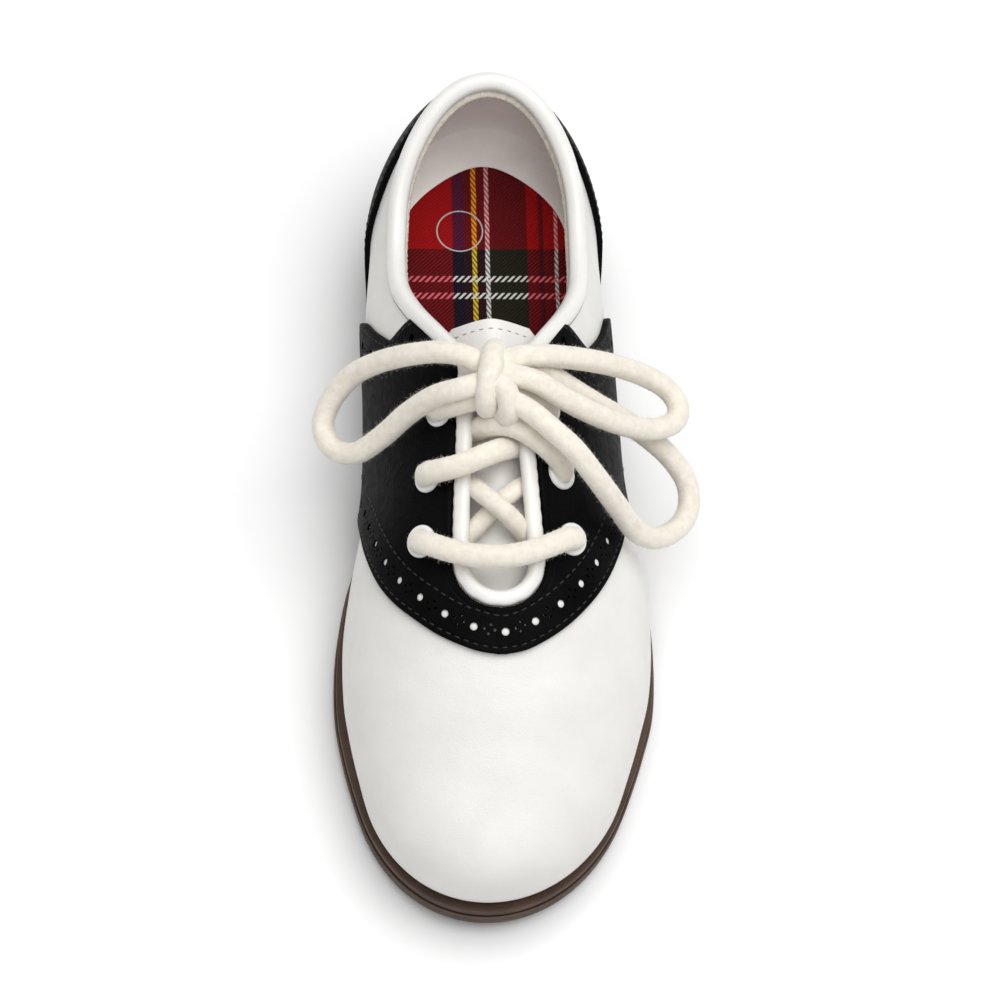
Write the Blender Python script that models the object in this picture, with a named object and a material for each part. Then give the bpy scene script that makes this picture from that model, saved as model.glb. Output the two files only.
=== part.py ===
"""A child's saddle shoe for the left foot.

The toe points along -Y, the heel along +Y, and +X is the outer side of the foot. The shoe stands
on z = 0, with the origin under the middle of its box. The upper and everything that lies on it
follow one surface, skin(), which is worked out from the named sizes and the tables of shares.
A share along the shoe runs from 0 at the heel to 1 at the toe.
"""

import math

import bmesh
import bpy
import numpy as np
from mathutils import Matrix, Vector

MM = 0.001

# Sole
LENGTH = 212 * MM
BALL_WIDTH = 79 * MM
SEAT_WIDTH = 58.5 * MM
OUTSOLE = 4.5 * MM
WELT = 3.0 * MM
WELT_INSET = 0.4 * MM
HEEL_LIFT = 12 * MM
TOE_SPRING = 4 * MM
TOE_ROUND = 50 * MM
HEEL_ROUND = 38 * MM
HEEL_END = 0.29
ARCH_END = 0.58
SPRING_START = 0.78
INSOLE = 3.0 * MM
INSOLE_CLEAR = 0.7 * MM

# Upper
UPPER_BALL = 75.2 * MM
UPPER_SEAT = 56.8 * MM
TOE_LEDGE = 1.1 * MM
HEEL_LEDGE = 2.7 * MM
INSTEP = 67 * MM
BACK_HEIGHT = 70 * MM
SIDE_HEIGHT = 50.5 * MM
GIRTH = 14 * MM
TUCK = 1.9 * MM
WALL = 2.0 * MM
TOE_BOX = 22 * MM
HEEL_BOX = 28 * MM

# Throat and lacing
THROAT_TOP = 17.5 * MM
THROAT_BOTTOM = -41 * MM
THROAT_TOP_HALF = 4.4 * MM
THROAT_BOTTOM_HALF = 7.7 * MM
STRIP = 3.8 * MM
STRIP_THICK = 3.6 * MM
ROLL = 4.6 * MM
EYELET_OUTER = 8.0 * MM
EYELET_HOLE = 4.6 * MM
EYELET_RIM = 1.0 * MM
EYELET_BARREL = 5.6 * MM
EYELET_ROOM = 0.3 * MM
LACE = 5.6 * MM
LACE_TIGHT = 4.6 * MM
LACE_LOOSE = 5.4 * MM
LACE_REST = 0.9 * MM

# Overlays and tongue
OVERLAY = 1.3 * MM
TONGUE = 2.4 * MM
TONGUE_DEPTH = 6.2 * MM
TONGUE_HALF = 21 * MM
TONGUE_TOP = 26 * MM
TONGUE_FOOT = -52 * MM

GAP = 0.3 * MM
LIFT = 1.0 * MM
STRIP_SINK = 0.2 * MM
BAR_SINK = 0.6 * MM
BLEND = 20 * MM
LOW_PART = 0.2
OVERLAY_FOOT = 0.03

# Plan: bend of the middle line and of the ridge in thousandths of BALL_WIDTH, and how far the
# upper and the sole have swollen from their width at the seat (0) to that at the ball (1).
PLAN = {
    "share": (0.00, 0.20, 0.30, 0.40, 0.50, 0.62, 0.69, 0.75, 0.80, 0.85, 0.90, 1.00),
    "middle": (-6, -14, -14, -2, 6, 13, 6, 1, -6, -12, -18, -34),
    "ridge": (-10, -16, -20, -20, -17, -11, -4, 1, -4, -12, -18, -34),
    "upper": (-0.04, 0.04, 0.19, 0.22, 0.34, 0.86, 1.00, 0.95, 0.79, 0.72, 0.80, 0.96),
    "sole": (0.00, 0.02, 0.00, 0.04, 0.20, 0.86, 0.99, 0.95, 0.78, 0.68, 0.69, 0.75),
}

# Sections: height of the ridge as a share of INSTEP, height of the widest line above the feather
# edge as a share of GIRTH, how far the wall is drawn in below it as a share of TUCK, and the
# exponent of the section's curve. Behind the throat the ridge is the one that the last would have.
SECTION = {
    "share": (0.13, 0.24, 0.33, 0.43, 0.49, 0.56, 0.62, 0.70, 0.76, 0.80, 0.85, 0.90),
    "ridge": (1.22, 1.08, 1.06, 1.022, 1.004, 0.972, 0.912, 0.813, 0.732, 0.684, 0.614, 0.548),
    "girth": (0.90, 0.72, 0.70, 0.70, 0.75, 0.85, 0.90, 0.85, 0.76, 0.68, 0.58, 0.48),
    "tuck": (2.00, 1.50, 1.30, 1.20, 1.10, 1.00, 1.00, 1.00, 1.00, 1.00, 1.00, 1.00),
    "fullness": (1.60, 1.50, 1.60, 1.60, 1.60, 1.60, 1.65, 1.80, 1.95, 2.05, 2.15, 2.25),
}

# Topline: rise from SIDE_HEIGHT to BACK_HEIGHT (back) and to INSTEP (front).
TOPLINE = {
    "share": (0.038, 0.099, 0.146, 0.193, 0.240, 0.288, 0.330, 0.382, 0.427, 0.480, 0.56),
    "back": (1.00, 0.67, 0.36, 0.10, 0.00, 0.00, 0.00, 0.00, 0.00, 0.00, 0.00),
    "front": (0.00, 0.00, 0.00, 0.00, 0.00, 0.12, 0.39, 0.76, 1.00, 1.40, 2.50),
}

# Saddle: share along the shoe of its front and rear edge on each side, by the way up the section.
# Between the notch and the topline the rear edge stands upright.
SADDLE = {
    "share": (0.00, 0.15, 0.30, 0.40, 0.50, 0.60, 0.70, 0.80, 0.90, 1.00),
    "front_inner": (0.490, 0.519, 0.568, 0.611, 0.651, 0.684, 0.711, 0.735, 0.751, 0.758),
    "front_outer": (0.482, 0.505, 0.538, 0.573, 0.617, 0.661, 0.698, 0.728, 0.749, 0.758),
}
SADDLE_REAR = {
    "share": (0.00, 0.25, 0.50, 0.75, 1.00),
    "inner": (0.284, 0.290, 0.307, 0.332, 0.364),
    "outer": (0.284, 0.288, 0.307, 0.338, 0.374),
}
SADDLE_ROWS = 8
NOTCH_ROW = 6

# Counter: its height as a share of the way up to the topline.
COUNTER = {
    "share": (0.010, 0.060, 0.100, 0.130, 0.160, 0.190, 0.220, 0.250, 0.270),
    "up": (1.00, 1.00, 0.97, 0.86, 0.72, 0.50, 0.32, 0.16, 0.07),
}

# Tongue: half its width as a share of TONGUE_HALF, and its depth under the skin as a share of
# TONGUE_DEPTH, by the way from its foot to its top.
TONGUE_SHAPE = {
    "share": (0.00, 0.08, 0.20, 0.50, 0.80, 0.93, 1.00),
    "half": (0.60, 0.70, 0.82, 0.95, 1.00, 0.97, 0.62),
    "depth": (0.42, 0.55, 0.95, 1.00, 0.98, 0.85, 0.78),
}

# Lacing holes: place along the shoe and distance from the middle line.
EYELETS = {
    "low": (-27.4 * MM, 17.0 * MM),
    "middle": (-12.2 * MM, 14.8 * MM),
    "top": (3.3 * MM, 11.8 * MM),
}
SIDES = {"inner": -1, "outer": 1}

# Height of a lace's middle over the skin where it lies on an eyelet, and on the throat's binding.
ON_EYELET = LIFT + OVERLAY + GAP + EYELET_RIM + LACE_REST + LACE / 2
ON_STRIP = STRIP_THICK / 2 - STRIP_SINK + GAP + LACE / 2
ON_TONGUE = GAP + LACE_TIGHT / 2 - TONGUE_DEPTH

# Lace across the throat: millimetres from its middle and along the shoe, and the share of the
# way from the height in the throat (0) to the height on the eyelet (1).
BAR = (
    (-17.0, -28.8, 1.0), (-12.0, -30.4, 0.6), (-6.5, -32.4, 0.3), (0.0, -33.2, 0.0),
    (6.5, -32.4, 0.3), (12.0, -30.4, 0.6), (17.0, -28.8, 1.0),
)
LOW_CROSS = (
    ((-3.2, -15.6, 0.80), (0.0, -19.2, 0.85), (3.8, -23.4, 0.75)),
    ((-3.6, -23.0, 0.0), (0.0, -19.2, 0.0), (3.2, -15.6, 0.0)),
)
HIGH_CROSS = (
    ((14.8, -12.2, 1.0), (10.5, -9.8, 0.88), (6.0, -7.8, 0.80), (1.0, -5.4, 0.62),
     (-2.2, -4.2, 0.40)),
    ((-14.8, -12.2, 1.0), (-10.5, -10.6, 0.88), (-6.0, -9.6, 0.80), (-1.0, -8.4, 0.28),
     (2.4, -7.8, 0.10)),
)

# Bow: points of its cords in millimetres, from the knot out and back to the knot. The last one
# is the knot's own turn.
BOW = {
    "lace_loop_inner": (
        (-10.8, 11.4, 75.4), (-13.4, 12.2, 74.4), (-16.5, 13.2, 72.6), (-22.8, 14.7, 67.8),
        (-29.1, 16.5, 60.5), (-35.0, 16.8, 53.0), (-40.0, 13.6, 46.0), (-42.0, 8.5, 42.0),
        (-39.3, 3.0, 41.0), (-34.0, 0.2, 44.5), (-27.8, 1.2, 51.5), (-21.7, 2.8, 60.8),
        (-15.8, 2.8, 69.6), (-10.8, 1.8, 75.0),
    ),
    "lace_loop_outer": (
        (4.9, 10.0, 76.5), (9.5, 10.6, 75.8), (14.3, 11.8, 73.0), (21.9, 14.0, 66.8),
        (29.7, 16.0, 59.6), (37.0, 16.2, 53.4), (42.3, 14.4, 49.6), (44.4, 10.7, 47.6),
        (41.7, 6.2, 48.6), (35.5, 2.3, 53.4), (28.4, 0.7, 60.0), (21.2, 0.4, 66.6),
        (14.2, 1.4, 72.4), (8.4, 3.4, 76.4),
    ),
    "lace_loop_end": (
        (4.4, -2.8, 76.0), (7.6, -4.8, 75.4), (11.8, -8.4, 74.6), (17.0, -12.6, 72.4),
        (22.8, -16.8, 65.2), (28.0, -18.8, 55.0), (33.4, -20.4, 44.0), (39.1, -19.2, 37.4),
        (44.8, -14.3, 33.2), (47.7, -8.4, 32.0), (47.2, -2.8, 34.4), (43.3, 1.6, 38.6),
        (37.7, 4.6, 43.6), (30.7, 6.6, 50.0), (23.5, 7.2, 57.4), (17.4, 8.0, 63.6),
        (13.0, 8.6, 67.8),
    ),
}
KNOT_TURNS = (
    (-9.4, 7.0, 70.0), (-6.6, 8.2, 72.0), (-3.4, 8.8, 74.8), (0.0, 6.6, 76.2),
    (0.6, 3.0, 75.0), (-1.4, 0.9, 72.4), (-4.2, 2.0, 70.0),
)


def smooth(table, column, share):
    """The table's column at a share, on a smooth curve through its rows."""
    x, v = np.array(table["share"]), np.array(table[column])
    s = np.clip(share, x[0], x[-1])
    slope = np.gradient(v, x)
    i = np.clip(np.searchsorted(x, s) - 1, 0, len(x) - 2)
    w = x[i + 1] - x[i]
    t = (s - x[i]) / w
    a, b = v[i], v[i + 1]
    return (
        a * (2 * t**3 - 3 * t**2 + 1)
        + b * (3 * t**2 - 2 * t**3)
        + w * slope[i] * (t**3 - 2 * t**2 + t)
        + w * slope[i + 1] * (t**3 - t**2)
    )


def ease(t):
    t = np.clip(t, 0, 1)
    return t * t * (3 - 2 * t)


def share_at(y):
    return (LENGTH / 2 - y) / LENGTH


def y_at(share):
    return LENGTH / 2 - share * LENGTH


def underside(share):
    """Height of the outsole's lower face above the floor: heel lift, flat tread, toe spring."""
    arch = 1 - ease((share - HEEL_END) / (ARCH_END - HEEL_END))
    spring = np.clip((share - SPRING_START) / (1 - SPRING_START), 0, 1) ** 2
    return HEEL_LIFT * arch + TOE_SPRING * spring


def feather(share):
    """Height of the upper's lower edge."""
    return underside(share) + OUTSOLE + WELT + 2 * GAP


def middle(share):
    return BALL_WIDTH * smooth(PLAN, "middle", share) / 1000


def ridge_line(y):
    """Place across the shoe of the ridge, which is also the throat's middle."""
    return BALL_WIDTH * smooth(PLAN, "ridge", share_at(y)) / 1000


def rounding(distance, radius):
    """Width left near an end that is rounded off, as a share of the full width."""
    t = 1 - np.clip(distance / radius, 0, 1)
    return np.sqrt(np.clip(1 - t * t, 0, 1))


def half_width(share, column, seat, ball, heel_tip, toe_tip):
    y = y_at(share)
    swell = smooth(PLAN, column, share)
    ends = rounding(heel_tip - y, HEEL_ROUND) * rounding(y - toe_tip, TOE_ROUND)
    return (seat + (ball - seat) * swell) / 2 * ends


def run(a, heel_tip, toe_tip):
    """Place along the shoe for a from 0 (heel tip) to 1 (toe tip), closer together at the tips."""
    return heel_tip + (toe_tip - heel_tip) * (1 - np.cos(math.pi * a)) / 2


UPPER_HEEL = LENGTH / 2 - HEEL_LEDGE
UPPER_TOE = TOE_LEDGE - LENGTH / 2


def ridge_place(y):
    """Where a section's line meets the ridge: sections fan out at the toe and at the heel."""
    toe = np.clip(UPPER_TOE + 2 * TOE_BOX - y, 0, None)
    heel = np.clip(y - UPPER_HEEL + 2 * HEEL_BOX, 0, None)
    return y + toe**2 / (4 * TOE_BOX) - heel**2 / (4 * HEEL_BOX)


def tuck(share):
    """How far the feather edge lies inside the widest line."""
    return TUCK * smooth(SECTION, "tuck", share)


def ridge_height(y):
    return INSTEP * smooth(SECTION, "ridge", share_at(y))


def skin(side, a, u):
    """A point of the upper's outer face.

    side is 1 for the outer side of the foot and -1 for the inner, a runs from the heel (0) to the
    toe (1) and u from the feather edge (0) up to the ridge (1).
    """
    side, a, u = np.broadcast_arrays(*(np.asarray(v, float) for v in (side, a, u)))
    y = run(a, UPPER_HEEL, UPPER_TOE)
    share = share_at(y)
    half = half_width(share, "upper", UPPER_SEAT, UPPER_BALL, UPPER_HEEL, UPPER_TOE)
    top_y = ridge_place(y)
    top = share_at(top_y)
    low = feather(share)
    wide = low + GIRTH * smooth(SECTION, "girth", share)
    n = smooth(SECTION, "fullness", top)
    b = np.clip(u / LOW_PART, 0, 1)
    angle = np.clip((u - LOW_PART) / (1 - LOW_PART), 0, 1) * math.pi / 2
    c, s = np.abs(np.cos(angle)), np.sin(angle)
    rho = (c**n + s**n) ** (-1 / n)
    r = np.where(u < LOW_PART, 1, rho * c)
    step = 0.5 * MM
    slope = (ridge_height(top_y + step) - ridge_height(top_y - step)) / (2 * step)
    z = np.where(
        u < LOW_PART,
        low + (wide - low) * b,
        wide + (ridge_height(top_y) - wide) * rho * s + slope * (y - top_y) * r * (1 - r),
    )
    top_x = ridge_line(top_y)
    out = np.stack([middle(share) + side * half - top_x, y - top_y], -1)
    reach = np.maximum(np.linalg.norm(out, axis=-1), 1 * MM)
    r = r - np.where(u < LOW_PART, tuck(share) * (1 - b) ** 2 / reach, 0)
    return np.stack([top_x + r * out[..., 0], top_y + r * out[..., 1], z], -1)


def normal(side, a, u):
    """Unit normal of the skin, pointing out of the foot."""
    e = 2e-3
    side, a, u = np.broadcast_arrays(*(np.asarray(v, float) for v in (side, a, u)))
    up = skin(side, a, np.minimum(u + e, 1)) - skin(side, a, np.maximum(u - e, 0))
    along = skin(side, np.minimum(a + e, 1), u) - skin(side, np.maximum(a - e, 0), u)
    n = np.cross(up, along) * side[..., None]
    return n / np.maximum(np.linalg.norm(n, axis=-1, keepdims=True), 1e-12)


def station(y):
    """The a of skin() whose section starts at this place along the shoe."""
    t = (UPPER_HEEL - np.asarray(y, float)) / (UPPER_HEEL - UPPER_TOE)
    return np.arccos(np.clip(1 - 2 * t, -1, 1)) / math.pi


def throat_half(y):
    """Half the clear width of the throat, below 0 in front of it."""
    t = np.clip((THROAT_TOP - y) / (THROAT_TOP - THROAT_BOTTOM), 0, 1)
    half = THROAT_TOP_HALF + (THROAT_BOTTOM_HALF - THROAT_TOP_HALF) * t
    radius = THROAT_BOTTOM_HALF
    into = np.clip((y - THROAT_BOTTOM) / radius, 0, 1)
    return np.where(y < THROAT_BOTTOM, y - THROAT_BOTTOM, half * np.sqrt(1 - (1 - into) ** 2))


def topline(y):
    share = share_at(y)
    back = (BACK_HEIGHT - SIDE_HEIGHT) * smooth(TOPLINE, "back", share)
    front = (INSTEP - SIDE_HEIGHT) * smooth(TOPLINE, "front", share)
    return SIDE_HEIGHT + back + front


def in_opening(p):
    """Above 0 where a point of the skin lies in the collar's or the throat's opening."""
    x, y, z = p[..., 0], p[..., 1], p[..., 2]
    throat = throat_half(y) - np.abs(x - ridge_line(y))
    throat = np.where(y > THROAT_TOP + ROLL, -1, throat)
    return np.maximum(z - topline(y), throat)


def first_rise(values, u, level):
    """For each row of values, the u where it first rises through the level; 1 where it doesn't."""
    over = values > level
    i = np.where(over.any(1), over.argmax(1), values.shape[1] - 1)
    i = np.maximum(i, 1)
    k = np.arange(len(values))
    lo, hi = values[k, i - 1], values[k, i]
    t = np.clip((level - lo) / np.where(hi == lo, 1, hi - lo), 0, 1)
    at = u[i - 1] + (u[i] - u[i - 1]) * t
    return np.where(over.any(1), at, 1.0)


def evenly(points, count, closed=False):
    """The line again as count points a like distance apart."""
    if closed:
        points = np.concatenate([points, points[:1]])
    along = np.concatenate([[0], np.cumsum(np.linalg.norm(np.diff(points[:, :3], axis=0), axis=1))])
    at = np.linspace(0, along[-1], count, endpoint=not closed)
    return np.stack([np.interp(at, along, points[:, k]) for k in range(points.shape[1])], -1)


def opening_loop(count=400, rounds=8):
    """The edge of collar and throat as one closed loop, from the throat's foot round the outer
    side, with the skin's normal in the last three columns."""
    ys = np.concatenate(
        [
            THROAT_BOTTOM + THROAT_BOTTOM_HALF * (1 - np.cos(np.linspace(0, math.pi / 2, 24)))[1:],
            np.linspace(THROAT_BOTTOM + THROAT_BOTTOM_HALF, LENGTH * 0.3, 90)[1:],
        ]
    )
    a = np.concatenate([station(ys), np.linspace(station(LENGTH * 0.3), 0, 60)[1:]])
    u = np.linspace(0, 1, 400)
    halves = []
    for side in (1, -1):
        edge = first_rise(in_opening(skin(side, a[:, None], u[None])), u, 0)
        halves.append(np.concatenate([skin(side, a, edge), normal(side, a, edge)], -1))
    foot = station(THROAT_BOTTOM)
    start = np.concatenate([skin(1, foot, 1), [0, 0, 1]])
    loop = np.concatenate([start[None], halves[0], halves[1][-2::-1]])
    loop = evenly(loop, count, closed=True)
    for _ in range(rounds):
        loop = (np.roll(loop, 1, 0) + 2 * loop + np.roll(loop, -1, 0)) / 4
    loop[:, 3:] /= np.linalg.norm(loop[:, 3:], axis=1, keepdims=True)
    return loop


LOOP = opening_loop()


def to_loop(p):
    """Distance from points to the opening's edge."""
    flat = p.reshape(-1, 3)
    a, d = LOOP[:, :3], np.roll(LOOP[:, :3], -1, 0) - LOOP[:, :3]
    best = np.full(len(flat), np.inf)
    for i in range(len(a)):
        t = np.clip(((flat - a[i]) @ d[i]) / (d[i] @ d[i]), 0, 1)
        best = np.minimum(best, np.linalg.norm(flat - a[i] - t[:, None] * d[i], axis=1))
    return best.reshape(p.shape[:-1])


def edge_u(side, a, margin):
    """The u at which each section comes within the margin of the opening's edge."""
    u = np.linspace(0, 1, 120)
    near = -to_loop(skin(side, np.asarray(a)[:, None], u[None]))
    return first_rise(near, u, -margin)


def find_u(side, a, x):
    """The u at which a section passes over this place across the shoe."""
    u = np.linspace(LOW_PART, 1, 200)
    p = skin(side, a, u)[:, 0] * side
    return float(np.interp(-x * side, -p, u))


def over(x, y, height):
    """The point at a height above the skin over a place in plan."""
    side = 1 if x >= ridge_line(y) else -1
    a = float(station(y))
    u = find_u(side, a, x)
    return skin(side, a, u) + height * normal(side, a, u)


def material(name, colour, roughness, metallic=0.0):
    m = bpy.data.materials.new(name)
    m.use_nodes = True
    shader = m.node_tree.nodes["Principled BSDF"]
    shader.inputs["Base Color"].default_value = (*colour, 1)
    shader.inputs["Roughness"].default_value = roughness
    shader.inputs["Metallic"].default_value = metallic
    m.diffuse_color = (*colour, 1)
    return m


def add(name, mesh, finish, smooth_angle=40):
    mesh.materials.append(finish)
    mesh.shade_smooth()
    mesh.set_sharp_from_angle(angle=math.radians(smooth_angle))
    piece = bpy.data.objects.new(name, mesh)
    bpy.context.scene.collection.objects.link(piece)
    return piece


def between(name, top, bottom, faces):
    """A closed mesh between two sheets of points that share the same faces."""
    count = len(top)
    uses = {}
    for f in faces:
        for i, j in zip(f, (*f[1:], f[0])):
            uses[(i, j)] = True
    rim = [(j, i, i + count, j + count) for i, j in uses if (j, i) not in uses]
    under = [tuple(i + count for i in reversed(f)) for f in faces]
    mesh = bpy.data.meshes.new(name)
    mesh.from_pydata([*map(tuple, top), *map(tuple, bottom)], [], [*faces, *under, *rim])
    bm = bmesh.new()
    bm.from_mesh(mesh)
    bmesh.ops.recalc_face_normals(bm, faces=bm.faces)
    if bm.calc_volume(signed=True) < 0:
        bmesh.ops.reverse_faces(bm, faces=bm.faces)
    bm.to_mesh(mesh)
    bm.free()
    return mesh


def welded(points, faces):
    """Points and faces with those that lie on each other made one, and each point's normal."""
    mesh = bpy.data.meshes.new("weld")
    mesh.from_pydata([tuple(p) for p in points], [], faces)
    bm = bmesh.new()
    bm.from_mesh(mesh)
    bmesh.ops.remove_doubles(bm, verts=bm.verts, dist=0.06 * MM)
    bmesh.ops.recalc_face_normals(bm, faces=bm.faces)
    bm.normal_update()
    bm.verts.index_update()
    p = np.array([v.co for v in bm.verts])
    n = np.array([v.normal for v in bm.verts])
    f = [tuple(v.index for v in face.verts) for face in bm.faces]
    bm.free()
    bpy.data.meshes.remove(mesh)
    centre = p.mean(0)
    if ((p - centre) * n).sum() < 0:
        f, n = [tuple(reversed(i)) for i in f], -n
    return p, n, f


def shell(name, patches, inner, outer):
    """A wall over grids of skin points, between two heights above them."""
    points, faces = [], []
    for grid in patches:
        rows, columns = grid.shape[:2]
        first = len(points)
        points += list(grid.reshape(-1, 3))
        for i in range(rows - 1):
            for j in range(columns - 1):
                k = first + i * columns + j
                faces.append((k, k + 1, k + columns + 1, k + columns))
    p, n, f = welded(points, faces)
    return between(name, p + outer * n, p + inner * n, f)


def grid_on_skin(side, a, low, high, rows):
    """Grid of skin points: a row for each station, from u low to u high."""
    t = np.linspace(0, 1, rows)
    u = low[:, None] + (high - low)[:, None] * t
    return skin(side, a[:, None], u)


def outline(column, seat, ball, heel_tip, toe_tip, count, inset=0.0, a_range=(0, 1)):
    """Inner-side and outer-side edge of a flat layer, from heel to toe, drawn in by inset, which
    may differ from point to point."""
    a = np.linspace(*a_range, count)
    y = run(a, heel_tip, toe_tip)
    share = share_at(y)
    half = half_width(share, column, seat, ball, heel_tip, toe_tip)
    edges = []
    for side in (-1, 1):
        line = np.stack([middle(share) + side * half, y], -1)
        step = np.gradient(line, axis=0)
        if a_range[0] == 0:
            step[0] = (side, 0)
        if a_range[1] == 1:
            step[-1] = (-side, 0)
        step /= np.linalg.norm(step, axis=1, keepdims=True)
        into = np.stack([step[:, 1], -step[:, 0]], -1) * side
        edges.append(line + np.reshape(inset, (-1, 1)) * into)
    return edges


def plate(name, edges, bottom, top, finish):
    """A layer between two edges that meet at closed ends, with heights worked out by share."""
    inner, outer = edges
    points = np.concatenate([inner, outer])
    count = len(inner)
    faces = [(i, i + 1, i + 1 + count, i + count) for i in range(count - 1)]
    flat = [tuple((*p, 0.0)) for p in points]
    p, _, f = welded(flat, faces)
    share = share_at(p[:, 1])
    low, high = p.copy(), p.copy()
    low[:, 2], high[:, 2] = bottom(share), top(share)
    return add(name, between(name, high, low, f), finish)


def stations(count):
    """Stations of the upper from heel to toe, with one at the foot of the throat."""
    cut = station(THROAT_BOTTOM - STRIP - GAP)
    turn = station(THROAT_BOTTOM + THROAT_BOTTOM_HALF)
    back = np.linspace(0, turn, count)
    round_foot = turn + (cut - turn) * np.sin(np.linspace(0, math.pi / 2, 6))[1:]
    front = 1 - (1 - cut) * np.linspace(1, 0, count // 2)[1:]
    return np.concatenate([back, round_foot, front])


def into_roll(y):
    """How far the throat's strip has turned into the collar's roll at a place along the edge."""
    return ease((y - THROAT_TOP) / BLEND)


def upper_edge(side, a):
    """The u at which the wall ends, a gap short of the binding."""
    slim = edge_u(side, a, GAP + STRIP)
    wide = edge_u(side, a, GAP + ROLL)
    return slim + (wide - slim) * into_roll(run(a, UPPER_HEEL, UPPER_TOE))


def make_upper(finish):
    a = stations(22)
    zero = np.zeros_like(a)
    patches = [grid_on_skin(side, a, zero, upper_edge(side, a), 12) for side in (1, -1)]
    return add("upper", shell("upper", patches, -WALL, 0), finish)


def make_saddle(finish):
    """Each side in two patches: from the front edge to the notch, and from the notch back."""
    foot = THROAT_BOTTOM - STRIP - GAP
    turn = THROAT_BOTTOM + THROAT_BOTTOM_HALF
    front = y_at(SADDLE["front_outer"][-1])
    fine = np.linspace(1, 0, 200)
    patches = []
    for name, side in SIDES.items():
        notch = y_at(SADDLE_REAR[name][-1])
        y = np.concatenate(
            [
                front + (foot - front) * np.linspace(0, 1, 7) ** 1.8,
                foot + (turn - foot) * (1 - np.cos(np.linspace(0, math.pi / 2, 6)))[1:],
                np.linspace(turn, notch, 13)[1:],
            ]
        )
        edge = y_at(smooth(SADDLE, "front_" + name, fine))
        low = np.maximum(np.interp(y, edge, fine), OVERLAY_FOOT)
        high = upper_edge(side, station(y))
        high[:7] = 1
        patches.append(grid_on_skin(side, station(y), low, high, SADDLE_ROWS + 1))
        share = NOTCH_ROW / SADDLE_ROWS
        high_back = OVERLAY_FOOT + (high[-1] - OVERLAY_FOOT) * share * np.linspace(1, 0.08, 8)
        t = (high_back - OVERLAY_FOOT) / (high_back[0] - OVERLAY_FOOT)
        y_back = y_at(smooth(SADDLE_REAR, name, t))
        y_back[0] = y[-1]
        low_back = np.full(len(y_back), OVERLAY_FOOT)
        patches.append(grid_on_skin(side, station(y_back), low_back, high_back, NOTCH_ROW + 1))
    return add("saddle", shell("saddle", patches, LIFT, LIFT + OVERLAY), finish)


def make_counter(finish):
    end = float(station(y_at(COUNTER["share"][-1])))
    a = stations(22)
    a = np.append(a[a < end - 0.01], end)
    share = share_at(run(a, UPPER_HEEL, UPPER_TOE))
    patches = []
    for side in (1, -1):
        low = np.full(len(a), OVERLAY_FOOT)
        high = upper_edge(side, a) * smooth(COUNTER, "up", share)
        patches.append(grid_on_skin(side, a, low, np.maximum(high, 0.06), 9))
    return add("counter", shell("counter", patches, LIFT, LIFT + OVERLAY), finish)


def make_tongue(finish):
    rows = []
    for t in np.linspace(0, 1, 13):
        y = TONGUE_FOOT + (TONGUE_TOP - TONGUE_FOOT) * t
        half = TONGUE_HALF * smooth(TONGUE_SHAPE, "half", t)
        depth = TONGUE_DEPTH * smooth(TONGUE_SHAPE, "depth", t)
        mid = ridge_line(y)
        rows.append([over(mid + half * w, y, -depth) for w in np.linspace(-1, 1, 9)])
    return add("tongue", shell("tongue", [np.array(rows)], -TONGUE, 0), finish)


def ring_tube(name, middles, across, up, closed=False, sides=8, fullness=2.4):
    """A tube with a rounded section, from its middle line and its two half-axes at each point."""
    turn = np.linspace(0, 2 * math.pi, sides, endpoint=False) + math.pi / sides
    c, s = np.cos(turn), np.sin(turn)
    c = np.sign(c) * np.abs(c) ** (2 / fullness)
    s = np.sign(s) * np.abs(s) ** (2 / fullness)
    points = middles[:, None] + across[:, None] * c[None, :, None] + up[:, None] * s[None, :, None]
    count = len(middles)
    faces = []
    for i in range(count - 1):
        for j in range(sides):
            k = (j + 1) % sides
            faces.append((i * sides + j, i * sides + k, (i + 1) * sides + k, (i + 1) * sides + j))
    faces.append(tuple(range(sides)))
    faces.append(tuple(reversed(range((count - 1) * sides, count * sides))))
    mesh = bpy.data.meshes.new(name)
    mesh.from_pydata([tuple(p) for p in points.reshape(-1, 3)], [], faces)
    bm = bmesh.new()
    bm.from_mesh(mesh)
    bmesh.ops.recalc_face_normals(bm, faces=bm.faces)
    bm.to_mesh(mesh)
    bm.free()
    return mesh


def binding_frame(loop):
    """Middle line and half-axes of the binding along a stretch of the opening's edge."""
    p, n = loop[:, :3], loop[:, 3:]
    along = np.gradient(p, axis=0)
    along /= np.linalg.norm(along, axis=1, keepdims=True)
    away = np.cross(along, n)
    t = into_roll(p[:, 1])[:, None]
    width = STRIP + (ROLL - STRIP) * t
    thick = STRIP_THICK + (ROLL - STRIP_THICK) * t
    depth = -STRIP_SINK + (STRIP_SINK - WALL / 2) * t
    return p + away * width / 2 + n * depth, away * width / 2, n * thick / 2


def make_bindings(finish):
    count = len(LOOP)
    far = np.where(LOOP[:, 1] > THROAT_TOP + 3 * MM)[0]
    first, last = far[0], far[-1]
    collar = evenly(LOOP[first : last + 1], 52)
    throat = evenly(np.roll(LOOP, count - last, axis=0)[2 : first + count - last - 2], 34)
    for name, line in (("collar_binding", collar), ("throat_binding", throat)):
        add(name, ring_tube(name, *binding_frame(line)), finish)


def place_on_skin(piece, x, y):
    """Puts a piece on the skin over a place in plan, its Z axis along the skin's normal."""
    low, high = Vector(over(x, y, 0)), Vector(over(x, y, 1 * MM))
    piece.matrix_world = Matrix.Translation(low) @ (high - low).to_track_quat("Z", "Y").to_matrix().to_4x4()


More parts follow.
